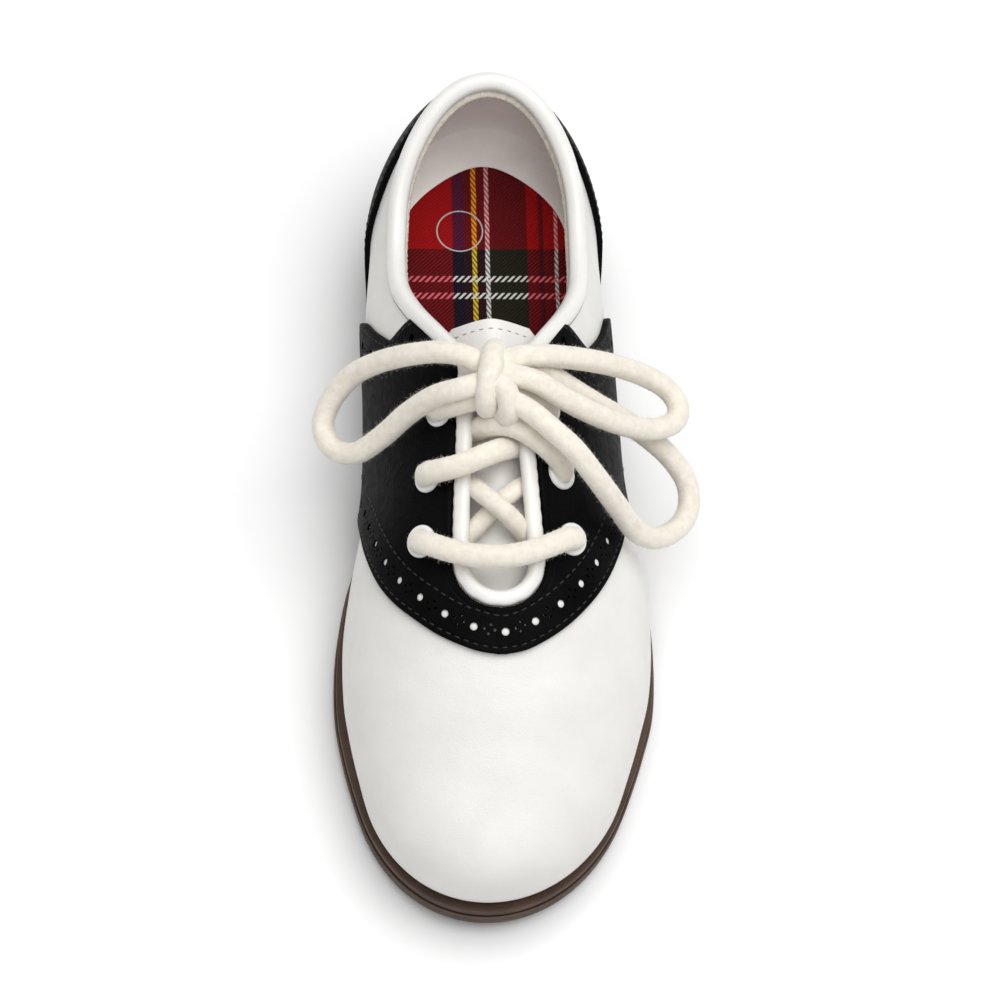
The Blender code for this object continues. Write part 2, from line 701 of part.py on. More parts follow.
def turned(name, profile, segments=10):
    """A ring turned about Z from a closed profile of radius and height."""
    points, faces = [], []
    rows = len(profile)
    for i in range(segments):
        turn = 2 * math.pi * i / segments
        points += [(r * math.cos(turn), r * math.sin(turn), z) for r, z in profile]
        for j in range(rows):
            k, m = (j + 1) % rows, (i + 1) % segments
            faces.append((i * rows + j, m * rows + j, m * rows + k, i * rows + k))
    mesh = bpy.data.meshes.new(name)
    mesh.from_pydata(points, [], faces)
    bm = bmesh.new()
    bm.from_mesh(mesh)
    bmesh.ops.recalc_face_normals(bm, faces=bm.faces)
    bm.to_mesh(mesh)
    bm.free()
    return mesh


def eyelet_places():
    for row, (y, reach) in EYELETS.items():
        for name, side in SIDES.items():
            yield f"eyelet_{row}_{name}", ridge_line(y) + side * reach, y


def make_eyelets(finish, *pierced):
    """White rings, with the holes for them cut through the pierced pieces."""
    seat = LIFT + OVERLAY + GAP
    hole, barrel, rim = EYELET_HOLE / 2, EYELET_BARREL / 2, EYELET_OUTER / 2
    foot, top = -WALL - 0.4 * MM, seat + EYELET_RIM
    soft = 0.4 * MM
    profile = (
        (hole, foot), (barrel, foot), (barrel, seat), (rim, seat), (rim - soft, top),
        (hole + soft, top), (hole, top - soft),
    )
    for name, x, y in eyelet_places():
        place_on_skin(add(name, turned(name, profile), finish), x, y)
        bm = bmesh.new()
        bmesh.ops.create_cone(
            bm, cap_ends=True, segments=10, radius1=barrel + EYELET_ROOM,
            radius2=barrel + EYELET_ROOM, depth=16 * MM,
        )
        mesh = bpy.data.meshes.new("cut_" + name)
        bm.to_mesh(mesh)
        bm.free()
        cutter = bpy.data.objects.new("cut_" + name, mesh)
        bpy.context.scene.collection.objects.link(cutter)
        cutter.hide_render = True
        cutter.display_type = "WIRE"
        place_on_skin(cutter, x, y)
        for piece in pierced:
            cut = piece.modifiers.new("hole_" + name, "BOOLEAN")
            cut.operation = "DIFFERENCE"
            cut.solver = "MANIFOLD"
            cut.object = cutter


def curve_through(points, step):
    """Points a step apart on a smooth curve through the given ones."""
    p = np.array(points, float)
    ends = [2 * p[0] - p[1], *p, 2 * p[-1] - p[-2]]
    line = []
    for i in range(1, len(ends) - 2):
        a, b, c, d = ends[i - 1 : i + 3]
        for t in np.linspace(0, 1, 12, endpoint=False):
            line.append(
                0.5 * (2 * b + (c - a) * t + (2 * a - 5 * b + 4 * c - d) * t**2
                       + (3 * b - a - 3 * c + d) * t**3)
            )
    line = np.array([*line, p[-1]])
    length = np.linalg.norm(np.diff(line, axis=0), axis=1).sum()
    return evenly(line, max(3, int(round(length / step)) + 1))


def lace_mesh(name, line, diameter, sides=8):
    """A round tube along a line."""
    along = np.gradient(line, axis=0)
    along /= np.linalg.norm(along, axis=1, keepdims=True)
    across = np.cross(along, (0, 0, 1))
    across /= np.linalg.norm(across, axis=1, keepdims=True)
    up = np.cross(across, along)
    return ring_tube(name, line, across * diameter / 2, up * diameter / 2, sides=sides, fullness=2)


def throat_line(route, low, high):
    points = []
    for x, y, t in route:
        points.append(over(ridge_line(y * MM) + x * MM, y * MM, low + (high - low) * t))
    return curve_through(points, 2.6 * MM)


def joined(name, meshes, finish):
    """One solid from tubes that run into each other."""
    piece = add(name, meshes[0], finish, smooth_angle=50)
    for i, mesh in enumerate(meshes[1:]):
        other = bpy.data.objects.new(f"join_{name}_{i}", mesh)
        bpy.context.scene.collection.objects.link(other)
        other.hide_render = True
        other.display_type = "WIRE"
        union = piece.modifiers.new(f"join_{i}", "BOOLEAN")
        union.operation = "UNION"
        union.solver = "MANIFOLD"
        union.object = other
    return piece


def make_lacing(finish):
    bar = throat_line(BAR, ON_STRIP - BAR_SINK, ON_EYELET)
    add("lace_bar", lace_mesh("lace_bar", bar, LACE), finish)
    low = [throat_line(route, ON_TONGUE, ON_TONGUE + LACE_TIGHT) for route in LOW_CROSS]
    joined("lace_cross_low", [lace_mesh("low", line, LACE_TIGHT) for line in low], finish)
    high = [throat_line(route, 0, ON_EYELET) for route in HIGH_CROSS]
    joined("lace_cross_high", [lace_mesh("high", line, LACE) for line in high], finish)


def cord(name, line, diameter, finish):
    """A cord as a curve object with a round section."""
    curve = bpy.data.curves.new(name, "CURVE")
    curve.dimensions = "3D"
    curve.bevel_depth = diameter / 2
    curve.bevel_resolution = 2
    curve.use_fill_caps = True
    spline = curve.splines.new("POLY")
    spline.points.add(len(line) - 1)
    for point, place in zip(spline.points, line):
        point.co = (*place, 1)
    curve.materials.append(finish)
    piece = bpy.data.objects.new(name, curve)
    bpy.context.scene.collection.objects.link(piece)


def make_bow(finish):
    for name, route in BOW.items():
        cord(name, curve_through(np.array(route) * MM, LACE), LACE_LOOSE, finish)
    cord("lace_knot", curve_through(np.array(KNOT_TURNS) * MM, 2 * LACE / 3), LACE, finish)


def main():
    for piece in list(bpy.data.objects):
        bpy.data.objects.remove(piece)
    white = material("white_leather", (0.86, 0.84, 0.80), 0.35)
    black = material("black_leather", (0.012, 0.012, 0.013), 0.35)
    brown = material("brown_sole", (0.07, 0.042, 0.03), 0.6)
    tartan = material("tartan_cloth", (0.35, 0.02, 0.03), 0.9)
    cotton = material("lace_cotton", (0.82, 0.79, 0.72), 0.9)
    enamel = material("white_enamel", (0.85, 0.85, 0.83), 0.3)

    heel_tip, toe_tip = LENGTH / 2, -LENGTH / 2
    sole = ("sole", SEAT_WIDTH, BALL_WIDTH, heel_tip, toe_tip)
    plate("outsole", outline(*sole, 40), underside, lambda s: underside(s) + OUTSOLE, brown)
    plate(
        "welt",
        outline(*sole, 40, WELT_INSET),
        lambda s: underside(s) + OUTSOLE + GAP,
        lambda s: feather(s) - GAP,
        brown,
    )
    breast = math.acos(1 - 2 * HEEL_END) / math.pi
    plate(
        "heel",
        outline(*sole, 16, a_range=(0, breast)),
        lambda s: np.zeros_like(s),
        lambda s: underside(s) - GAP,
        brown,
    )
    inside = tuck(share_at(run(np.linspace(0, 1, 32), UPPER_HEEL, UPPER_TOE))) + WALL + INSOLE_CLEAR
    plate(
        "insole",
        outline("upper", UPPER_SEAT, UPPER_BALL, UPPER_HEEL, UPPER_TOE, 32, inside),
        feather,
        lambda s: feather(s) + INSOLE,
        tartan,
    )
    upper = make_upper(white)
    saddle = make_saddle(black)
    make_counter(black)
    make_tongue(white)
    make_bindings(white)
    make_eyelets(enamel, upper, saddle)
    make_lacing(cotton)
    make_bow(cotton)


main()
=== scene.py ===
"""Looks of a child's saddle shoe for the left foot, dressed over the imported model.

The upper's surface is worked out here from the same sizes as the solids, and finer.
"""

import math

import bmesh
import bpy
import numpy as np
from mathutils import Matrix, Vector
from mathutils.bvhtree import BVHTree


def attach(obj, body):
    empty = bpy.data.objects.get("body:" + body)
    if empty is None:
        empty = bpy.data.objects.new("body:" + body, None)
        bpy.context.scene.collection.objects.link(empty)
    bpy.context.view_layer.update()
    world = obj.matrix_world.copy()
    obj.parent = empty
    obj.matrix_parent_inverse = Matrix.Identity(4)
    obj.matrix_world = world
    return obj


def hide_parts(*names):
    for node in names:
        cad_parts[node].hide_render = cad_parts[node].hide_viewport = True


MM = 0.001

# Sole
LENGTH = 212 * MM
BALL_WIDTH = 79 * MM
SEAT_WIDTH = 58.5 * MM
OUTSOLE = 4.5 * MM
WELT = 3.0 * MM
WELT_INSET = 0.4 * MM
HEEL_LIFT = 12 * MM
TOE_SPRING = 4 * MM
TOE_ROUND = 50 * MM
HEEL_ROUND = 38 * MM
HEEL_END = 0.29
ARCH_END = 0.58
SPRING_START = 0.78
INSOLE = 3.0 * MM

# Upper
UPPER_BALL = 75.2 * MM
UPPER_SEAT = 56.8 * MM
TOE_LEDGE = 1.1 * MM
HEEL_LEDGE = 2.7 * MM
INSTEP = 67 * MM
BACK_HEIGHT = 70 * MM
SIDE_HEIGHT = 50.5 * MM
GIRTH = 14 * MM
TUCK = 1.9 * MM
WALL = 2.0 * MM
TOE_BOX = 22 * MM
HEEL_BOX = 28 * MM

# Throat and lacing
THROAT_TOP = 17.5 * MM
THROAT_BOTTOM = -41 * MM
THROAT_TOP_HALF = 4.4 * MM
THROAT_BOTTOM_HALF = 7.7 * MM
STRIP = 3.8 * MM
STRIP_THICK = 3.6 * MM
ROLL = 4.6 * MM
EYELET_OUTER = 8.0 * MM
EYELET_HOLE = 4.6 * MM
EYELET_RIM = 1.0 * MM
EYELET_BARREL = 5.6 * MM
LACE = 5.6 * MM
LACE_TIGHT = 4.6 * MM
LACE_LOOSE = 5.4 * MM

# Tongue
TONGUE = 2.4 * MM
TONGUE_DEPTH = 6.2 * MM
TONGUE_HALF = 21 * MM
TONGUE_TOP = 26 * MM
TONGUE_FOOT = -52 * MM

GAP = 0.3 * MM
BLEND = 20 * MM
LOW_PART = 0.2
OVERLAY_FOOT = 0.03

# Plan: bend of the middle line and of the ridge in thousandths of BALL_WIDTH, and how far the
# upper and the sole have swollen from their width at the seat (0) to that at the ball (1).
PLAN = {
    "share": (0.00, 0.20, 0.30, 0.40, 0.50, 0.62, 0.69, 0.75, 0.80, 0.85, 0.90, 1.00),
    "middle": (-6, -14, -14, -2, 6, 13, 6, 1, -6, -12, -18, -34),
    "ridge": (-10, -16, -20, -20, -17, -11, -4, 1, -4, -12, -18, -34),
    "upper": (-0.04, 0.04, 0.19, 0.22, 0.34, 0.86, 1.00, 0.95, 0.79, 0.72, 0.80, 0.96),
    "sole": (0.00, 0.02, 0.00, 0.04, 0.20, 0.86, 0.99, 0.95, 0.78, 0.68, 0.69, 0.75),
}

# Sections: height of the ridge as a share of INSTEP, height of the widest line above the feather
# edge as a share of GIRTH, how far the wall is drawn in below it as a share of TUCK, and the
# exponent of the section's curve. Behind the throat the ridge is the one that the last would have.
SECTION = {
    "share": (0.13, 0.24, 0.33, 0.43, 0.49, 0.56, 0.62, 0.70, 0.76, 0.80, 0.85, 0.90),
    "ridge": (1.22, 1.08, 1.06, 1.022, 1.004, 0.972, 0.912, 0.813, 0.732, 0.684, 0.614, 0.548),
    "girth": (0.90, 0.72, 0.70, 0.70, 0.75, 0.85, 0.90, 0.85, 0.76, 0.68, 0.58, 0.48),
    "tuck": (2.00, 1.50, 1.30, 1.20, 1.10, 1.00, 1.00, 1.00, 1.00, 1.00, 1.00, 1.00),
    "fullness": (1.60, 1.50, 1.60, 1.60, 1.60, 1.60, 1.65, 1.80, 1.95, 2.05, 2.15, 2.25),
}

# Topline: rise from SIDE_HEIGHT to BACK_HEIGHT (back) and to INSTEP (front).
TOPLINE = {
    "share": (0.038, 0.099, 0.146, 0.193, 0.240, 0.288, 0.330, 0.382, 0.427, 0.480, 0.56),
    "back": (1.00, 0.67, 0.36, 0.10, 0.00, 0.00, 0.00, 0.00, 0.00, 0.00, 0.00),
    "front": (0.00, 0.00, 0.00, 0.00, 0.00, 0.12, 0.39, 0.76, 1.00, 1.40, 2.50),
}

# Saddle: share along the shoe of its front edge on each side, by the way up the section.
SADDLE = {
    "share": (0.00, 0.15, 0.30, 0.40, 0.50, 0.60, 0.70, 0.80, 0.90, 1.00),
    "front_inner": (0.490, 0.519, 0.568, 0.611, 0.651, 0.684, 0.711, 0.735, 0.751, 0.758),
    "front_outer": (0.482, 0.505, 0.538, 0.573, 0.617, 0.661, 0.698, 0.728, 0.749, 0.758),
}

# Counter: its height as a share of the way up to the topline.
COUNTER = {
    "share": (0.010, 0.060, 0.100, 0.130, 0.160, 0.190, 0.220, 0.250, 0.270),
    "up": (1.00, 1.00, 0.97, 0.86, 0.72, 0.50, 0.32, 0.16, 0.07),
}

# Tongue: half its width as a share of TONGUE_HALF, and its depth under the skin as a share of
# TONGUE_DEPTH, by the way from its foot to its top.
TONGUE_SHAPE = {
    "share": (0.00, 0.08, 0.20, 0.50, 0.80, 0.93, 1.00),
    "half": (0.60, 0.70, 0.82, 0.95, 1.00, 0.97, 0.62),
    "depth": (0.42, 0.55, 0.95, 1.00, 0.98, 0.85, 0.78),
}

# Lacing holes: place along the shoe and distance from the middle line.
EYELETS = {
    "low": (-27.4 * MM, 17.0 * MM),
    "middle": (-12.2 * MM, 14.8 * MM),
    "top": (3.3 * MM, 11.8 * MM),
}
SIDES = {"inner": -1, "outer": 1}

# The lace's way through the eyelets and across the throat, in millimetres: from the throat's middle,
# along the shoe and over the skin. A lace that ends under a flap or in a hole ends out of sight.
THREADING = {
    "lace_low_bar": (
        (-17.0, -27.4, -2.6), (-17.0, -27.5, 0.6), (-16.3, -28.0, 3.4), (-13.8, -29.4, 4.8),
        (-10.0, -31.5, 4.9), (-5.0, -33.2, 4.4), (0.0, -33.7, 4.1), (5.0, -32.8, 4.4),
        (10.0, -30.7, 4.9), (13.8, -28.6, 4.8), (16.3, -27.8, 3.4), (17.0, -27.4, 0.6),
        (17.0, -27.4, -2.6),
    ),
    "lace_low_over": (
        (-11.5, -13.6, -4.6), (-8.0, -15.4, -3.8), (-4.1, -18.7, -1.2), (0.0, -22.2, 0.6),
        (4.1, -25.1, -1.2), (8.0, -27.4, -3.8), (11.5, -28.8, -4.6),
    ),
    "lace_low_under": (
        (11.5, -14.4, -4.6), (8.0, -16.2, -4.2), (4.6, -18.6, -4.0), (0.0, -21.8, -4.1),
        (-4.6, -24.8, -4.0), (-8.0, -27.0, -4.2), (-11.5, -28.8, -4.6),
    ),
    "lace_high_over": (
        (14.8, -12.2, -2.6), (14.8, -12.1, 0.6), (13.9, -11.6, 3.4), (11.4, -9.9, 5.0),
        (8.0, -7.4, 5.0), (4.6, -5.2, 4.4), (1.6, -3.8, 2.8), (-1.8, -3.2, 0.2),
        (-5.2, -2.4, -3.0), (-9.0, -1.2, -4.6),
    ),
    "lace_high_under": (
        (-14.8, -12.2, -2.6), (-14.8, -12.3, 0.6), (-14.0, -12.6, 3.4), (-11.2, -13.2, 4.9),
        (-6.6, -13.0, 4.6), (-2.2, -11.0, 2.2), (1.8, -8.8, -0.6), (5.2, -7.0, -3.4),
        (9.0, -5.2, -4.6),
    ),
    "lace_lead_inner": (
        (-11.8, 3.3, -2.6), (-11.8, 3.2, 0.6), (-10.9, 2.7, 3.4), (-8.4, 2.0, 4.5),
        (-5.4, 1.8, 4.9), (-2.0, 2.2, 4.9),
    ),
    "lace_lead_outer": (
        (11.8, 3.3, -2.6), (11.8, 3.2, 0.6), (10.9, 3.0, 3.4), (8.4, 2.8, 4.5),
        (5.0, 3.0, 4.9), (1.6, 3.4, 4.9),
    ),
}
STANDS_FOR = {
    "lace_low_bar": "lace_bar", "lace_low_over": "lace_cross_low", "lace_high_over": "lace_cross_high",
}

# Bow: points of its cords in millimetres, from the knot out and back to the knot.
BOW = {
    "lace_loop_inner": (
        (-3.0, 7.6, 74.2), (-6.9, 9.8, 75.6), (-10.8, 11.4, 75.4), (-13.4, 12.2, 74.4),
        (-16.5, 13.2, 72.6), (-22.8, 14.7, 67.8),
        (-29.1, 16.5, 60.5), (-35.0, 16.8, 53.0), (-40.0, 13.6, 46.0), (-42.0, 8.5, 42.0),
        (-39.3, 3.0, 41.0), (-34.0, 0.2, 44.5), (-27.8, 1.2, 51.5), (-21.7, 2.8, 60.8),
        (-15.8, 2.8, 69.6), (-10.8, 2.2, 74.4), (-6.6, 2.9, 75.6),
        (-2.6, 4.8, 74.2),
    ),
    "lace_loop_outer": (
        (-2.6, 7.2, 74.6), (0.8, 8.9, 76.2), (4.9, 10.0, 76.5), (9.5, 10.6, 75.8),
        (14.3, 11.8, 73.0), (21.9, 14.0, 66.8),
        (29.7, 16.0, 59.6), (36.4, 16.4, 53.8), (41.6, 15.2, 49.8), (44.4, 12.0, 47.8),
        (44.0, 8.0, 47.6), (40.6, 4.8, 49.4), (35.2, 2.3, 53.6), (28.4, 0.7, 60.0), (21.2, 0.4, 66.6),
        (14.2, 1.4, 72.4), (8.8, 3.2, 76.0), (4.2, 4.5, 76.8), (0.2, 5.2, 75.8),
        (-3.0, 3.4, 74.6),
    ),
    "lace_loop_end": (
        (-0.8, 1.6, 73.6), (1.9, -0.9, 75.3), (4.4, -2.8, 76.0), (7.6, -4.8, 75.4),
        (11.8, -8.4, 74.6), (17.0, -12.6, 72.4),
        (22.8, -16.8, 65.2), (28.0, -18.8, 55.0), (33.4, -20.4, 44.0), (39.1, -19.2, 37.4),
        (44.8, -14.3, 33.2), (47.7, -8.4, 32.0), (47.2, -2.8, 34.4), (43.3, 1.6, 38.6),
        (37.7, 4.6, 43.6), (30.7, 6.6, 50.0), (23.5, 7.2, 57.4), (17.4, 8.0, 63.6),
        (13.0, 8.8, 67.8), (8.8, 9.4, 71.0), (4.2, 8.8, 72.8), (0.0, 7.2, 73.2),
    ),
}
KNOT = {
    "lace_knot_wrap": (
        (-1.4, 6.6, 71.6), (-1.0, 10.6, 71.2), (-1.1, 12.8, 73.6), (-1.8, 10.9, 77.2), (-2.5, 6.6, 79.2),
        (-3.3, 2.4, 78.0), (-3.6, -0.7, 75.0), (-3.3, -0.9, 71.8), (-2.6, 2.2, 71.0),
    ),
    "lace_knot_turn": (
        (-3.4, 4.4, 75.6), (-0.8, 2.4, 77.4), (1.2, -0.4, 77.2), (1.8, -2.9, 75.0),
        (1.2, -3.0, 72.0), (-0.4, 0.2, 71.4),
    ),
}


def smooth(table, column, share):
    """The table's column at a share, on a smooth curve through its rows."""
    x, v = np.array(table["share"]), np.array(table[column])
    s = np.clip(share, x[0], x[-1])
    slope = np.gradient(v, x)
    i = np.clip(np.searchsorted(x, s) - 1, 0, len(x) - 2)
    w = x[i + 1] - x[i]
    t = (s - x[i]) / w
    a, b = v[i], v[i + 1]
    return (
        a * (2 * t**3 - 3 * t**2 + 1)
        + b * (3 * t**2 - 2 * t**3)
        + w * slope[i] * (t**3 - 2 * t**2 + t)
        + w * slope[i + 1] * (t**3 - t**2)
    )


def ease(t):
    t = np.clip(t, 0, 1)
    return t * t * (3 - 2 * t)


def unit(v):
    """The same directions with length 1."""
    return v / np.linalg.norm(v, axis=-1, keepdims=True)


def share_at(y):
    return (LENGTH / 2 - y) / LENGTH


def y_at(share):
    return LENGTH / 2 - share * LENGTH


def underside(share):
    """Height of the outsole's lower face above the floor: heel lift, flat tread, toe spring."""
    arch = 1 - ease((share - HEEL_END) / (ARCH_END - HEEL_END))
    spring = np.clip((share - SPRING_START) / (1 - SPRING_START), 0, 1) ** 2
    return HEEL_LIFT * arch + TOE_SPRING * spring


def feather(share):
    """Height of the upper's lower edge."""
    return underside(share) + OUTSOLE + WELT + 2 * GAP


def middle(share):
    return BALL_WIDTH * smooth(PLAN, "middle", share) / 1000


def ridge_line(y):
    """Place across the shoe of the ridge, which is also the throat's middle."""
    return BALL_WIDTH * smooth(PLAN, "ridge", share_at(y)) / 1000


def rounding(distance, radius):
    """Width left near an end that is rounded off, as a share of the full width."""
    t = 1 - np.clip(distance / radius, 0, 1)
    return np.sqrt(np.clip(1 - t * t, 0, 1))


def half_width(share, column, seat, ball, heel_tip, toe_tip):
    """Half the width of a layer at a share, rounded off at heel and toe."""
    y = y_at(share)
    swell = smooth(PLAN, column, share)
    ends = rounding(heel_tip - y, HEEL_ROUND) * rounding(y - toe_tip, TOE_ROUND)
    return (seat + (ball - seat) * swell) / 2 * ends


def run(a, heel_tip, toe_tip):
    """Place along the shoe for a from 0 (heel tip) to 1 (toe tip), closer together at the tips."""
    return heel_tip + (toe_tip - heel_tip) * (1 - np.cos(math.pi * a)) / 2


UPPER_HEEL = LENGTH / 2 - HEEL_LEDGE
UPPER_TOE = TOE_LEDGE - LENGTH / 2
UPPER_PLAN = ("upper", UPPER_SEAT, UPPER_BALL, UPPER_HEEL, UPPER_TOE)
SOLE_PLAN = ("sole", SEAT_WIDTH, BALL_WIDTH, LENGTH / 2, -LENGTH / 2)


def ridge_place(y):
    """Where a section's line meets the ridge: sections fan out at the toe and at the heel."""
    toe = np.clip(UPPER_TOE + 2 * TOE_BOX - y, 0, None)
    heel = np.clip(y - UPPER_HEEL + 2 * HEEL_BOX, 0, None)
    return y + toe**2 / (4 * TOE_BOX) - heel**2 / (4 * HEEL_BOX)


def tuck(share):
    """How far the feather edge lies inside the widest line."""
    return TUCK * smooth(SECTION, "tuck", share)


def ridge_height(y):
    return INSTEP * smooth(SECTION, "ridge", share_at(y))


def skin(side, a, u):
    """A point of the upper's outer face.

    side is 1 for the outer side of the foot and -1 for the inner, a runs from the heel (0) to the
    toe (1) and u from the feather edge (0) up to the ridge (1).
    """
    side, a, u = np.broadcast_arrays(*(np.asarray(v, float) for v in (side, a, u)))
    y = run(a, UPPER_HEEL, UPPER_TOE)
    share = share_at(y)
    half = half_width(share, *UPPER_PLAN)
    top_y = ridge_place(y)
    top = share_at(top_y)
    low = feather(share)
    wide = low + GIRTH * smooth(SECTION, "girth", share)
    n = smooth(SECTION, "fullness", top)
    b = np.clip(u / LOW_PART, 0, 1)
    angle = np.clip((u - LOW_PART) / (1 - LOW_PART), 0, 1) * math.pi / 2
    c, s = np.abs(np.cos(angle)), np.sin(angle)
    rho = (c**n + s**n) ** (-1 / n)
    r = np.where(u < LOW_PART, 1, rho * c)
    step = 0.5 * MM
    slope = (ridge_height(top_y + step) - ridge_height(top_y - step)) / (2 * step)
    z = np.where(
        u < LOW_PART,
        low + (wide - low) * b,
        wide + (ridge_height(top_y) - wide) * rho * s + slope * (y - top_y) * r * (1 - r),
    )
    top_x = ridge_line(top_y)
    out = np.stack([middle(share) + side * half - top_x, y - top_y], -1)
    reach = np.maximum(np.linalg.norm(out, axis=-1), 1 * MM)
    r = r - np.where(u < LOW_PART, tuck(share) * (1 - b) ** 2 / reach, 0)
    return np.stack([top_x + r * out[..., 0], top_y + r * out[..., 1], z], -1)


def normal(side, a, u):
    """Unit normal of the skin, pointing out of the foot."""
    e = 2e-3
    side, a, u = np.broadcast_arrays(*(np.asarray(v, float) for v in (side, a, u)))
    up = skin(side, a, np.minimum(u + e, 1)) - skin(side, a, np.maximum(u - e, 0))
    along = skin(side, np.minimum(a + e, 1), u) - skin(side, np.maximum(a - e, 0), u)
    n = np.cross(up, along) * side[..., None]
    return n / np.maximum(np.linalg.norm(n, axis=-1, keepdims=True), 1e-12)


def station(y):
    """The a of skin() whose section starts at this place along the shoe."""
    t = (UPPER_HEEL - np.asarray(y, float)) / (UPPER_HEEL - UPPER_TOE)
    return np.arccos(np.clip(1 - 2 * t, -1, 1)) / math.pi


def throat_half(y):
    """Half the clear width of the throat, below 0 in front of it."""
    t = np.clip((THROAT_TOP - y) / (THROAT_TOP - THROAT_BOTTOM), 0, 1)
    half = THROAT_TOP_HALF + (THROAT_BOTTOM_HALF - THROAT_TOP_HALF) * t
    radius = THROAT_BOTTOM_HALF
    into = np.clip((y - THROAT_BOTTOM) / radius, 0, 1)
    return np.where(y < THROAT_BOTTOM, y - THROAT_BOTTOM, half * np.sqrt(1 - (1 - into) ** 2))


def topline(y):
    """Height of the collar's edge at a place along the shoe."""
    share = share_at(y)
    back = (BACK_HEIGHT - SIDE_HEIGHT) * smooth(TOPLINE, "back", share)
    front = (INSTEP - SIDE_HEIGHT) * smooth(TOPLINE, "front", share)
    return SIDE_HEIGHT + back + front


def in_opening(p):
    """Above 0 where a point of the skin lies in the collar's or the throat's opening."""
    x, y, z = p[..., 0], p[..., 1], p[..., 2]
    throat = throat_half(y) - np.abs(x - ridge_line(y))
    throat = np.where(y > THROAT_TOP + ROLL, -1, throat)
    return np.maximum(z - topline(y), throat)


def first_rise(values, u, level):
    """For each row of values, the u where it first rises through the level; 1 where it doesn't."""
    over = values > level
    i = np.where(over.any(1), over.argmax(1), values.shape[1] - 1)
    i = np.maximum(i, 1)
    k = np.arange(len(values))
    lo, hi = values[k, i - 1], values[k, i]
    t = np.clip((level - lo) / np.where(hi == lo, 1, hi - lo), 0, 1)
    at = u[i - 1] + (u[i] - u[i - 1]) * t
    return np.where(over.any(1), at, 1.0)


def evenly(points, count, closed=False):
    """The line again as count points a like distance apart."""
    if closed:
        points = np.concatenate([points, points[:1]])
    along = np.concatenate([[0], np.cumsum(np.linalg.norm(np.diff(points[:, :3], axis=0), axis=1))])
    at = np.linspace(0, along[-1], count, endpoint=not closed)
    return np.stack([np.interp(at, along, points[:, k]) for k in range(points.shape[1])], -1)


def opening_loop(count=400, rounds=8):
    """The edge of collar and throat as one closed loop, from the throat's foot round the outer
    side, with the skin's normal in the last three columns."""
    ys = np.concatenate(
        [
            THROAT_BOTTOM + THROAT_BOTTOM_HALF * (1 - np.cos(np.linspace(0, math.pi / 2, 24)))[1:],
            np.linspace(THROAT_BOTTOM + THROAT_BOTTOM_HALF, LENGTH * 0.3, 90)[1:],
        ]
    )
    a = np.concatenate([station(ys), np.linspace(station(LENGTH * 0.3), 0, 60)[1:]])
    u = np.linspace(0, 1, 400)
    halves = []
    for side in (1, -1):
        edge = first_rise(in_opening(skin(side, a[:, None], u[None])), u, 0)
        halves.append(np.concatenate([skin(side, a, edge), normal(side, a, edge)], -1))
    foot = station(THROAT_BOTTOM)
    start = np.concatenate([skin(1, foot, 1), [0, 0, 1]])
    loop = np.concatenate([start[None], halves[0], halves[1][-2::-1]])
    loop = evenly(loop, count, closed=True)
    for _ in range(rounds):
        loop = (np.roll(loop, 1, 0) + 2 * loop + np.roll(loop, -1, 0)) / 4
    loop[:, 3:] /= np.linalg.norm(loop[:, 3:], axis=1, keepdims=True)
    return loop


LOOP = opening_loop()


def to_loop(p):
    """Distance from points to the opening's edge."""
    flat = p.reshape(-1, 3)
    a, d = LOOP[:, :3], np.roll(LOOP[:, :3], -1, 0) - LOOP[:, :3]
    best = np.full(len(flat), np.inf)
    for i in range(len(a)):
        t = np.clip(((flat - a[i]) @ d[i]) / (d[i] @ d[i]), 0, 1)
        best = np.minimum(best, np.linalg.norm(flat - a[i] - t[:, None] * d[i], axis=1))
    return best.reshape(p.shape[:-1])


def edge_u(side, a, margin):
    """The u at which each section comes within the margin of the opening's edge."""
    u = np.linspace(0, 1, 120)
    near = -to_loop(skin(side, np.asarray(a)[:, None], u[None]))
    return first_rise(near, u, -margin)


def find_u(side, a, x):
    """The u at which a section has this distance x from the x = 0 plane."""
    u = np.linspace(LOW_PART, 1, 200)
    p = skin(side, a, u)[:, 0] * side
    return float(np.interp(-x * side, -p, u))


def over(x, y, height):
    """The point at a height above the skin over a place in plan."""
    side = 1 if x >= ridge_line(y) else -1
    a = float(station(y))
    u = find_u(side, a, x)
    return skin(side, a, u) + height * normal(side, a, u)


def outline(column, seat, ball, heel_tip, toe_tip, count, inset=0.0, a_range=(0, 1)):
    """Inner-side and outer-side edge of a flat layer, from heel to toe, drawn in by inset, which
    may differ from point to point."""
    a = np.linspace(*a_range, count)
    y = run(a, heel_tip, toe_tip)
    share = share_at(y)
    half = half_width(share, column, seat, ball, heel_tip, toe_tip)
    edges = []
    for side in (-1, 1):
        line = np.stack([middle(share) + side * half, y], -1)
        step = np.gradient(line, axis=0)
        if a_range[0] == 0:
            step[0] = (side, 0)
        if a_range[1] == 1:
            step[-1] = (-side, 0)
        step = unit(step)
        into = np.stack([step[:, 1], -step[:, 0]], -1) * side
        edges.append(line + np.reshape(inset, (-1, 1)) * into)
    return edges


def into_roll(y):
    """How far the throat's strip has turned into the collar's roll at a place along the edge."""
    return ease((y - THROAT_TOP) / BLEND)


def upper_edge(side, a):
    """The u at which the wall ends, a gap short of the binding."""
    slim = edge_u(side, a, GAP + STRIP)
    wide = edge_u(side, a, GAP + ROLL)
    return slim + (wide - slim) * into_roll(run(a, UPPER_HEEL, UPPER_TOE))


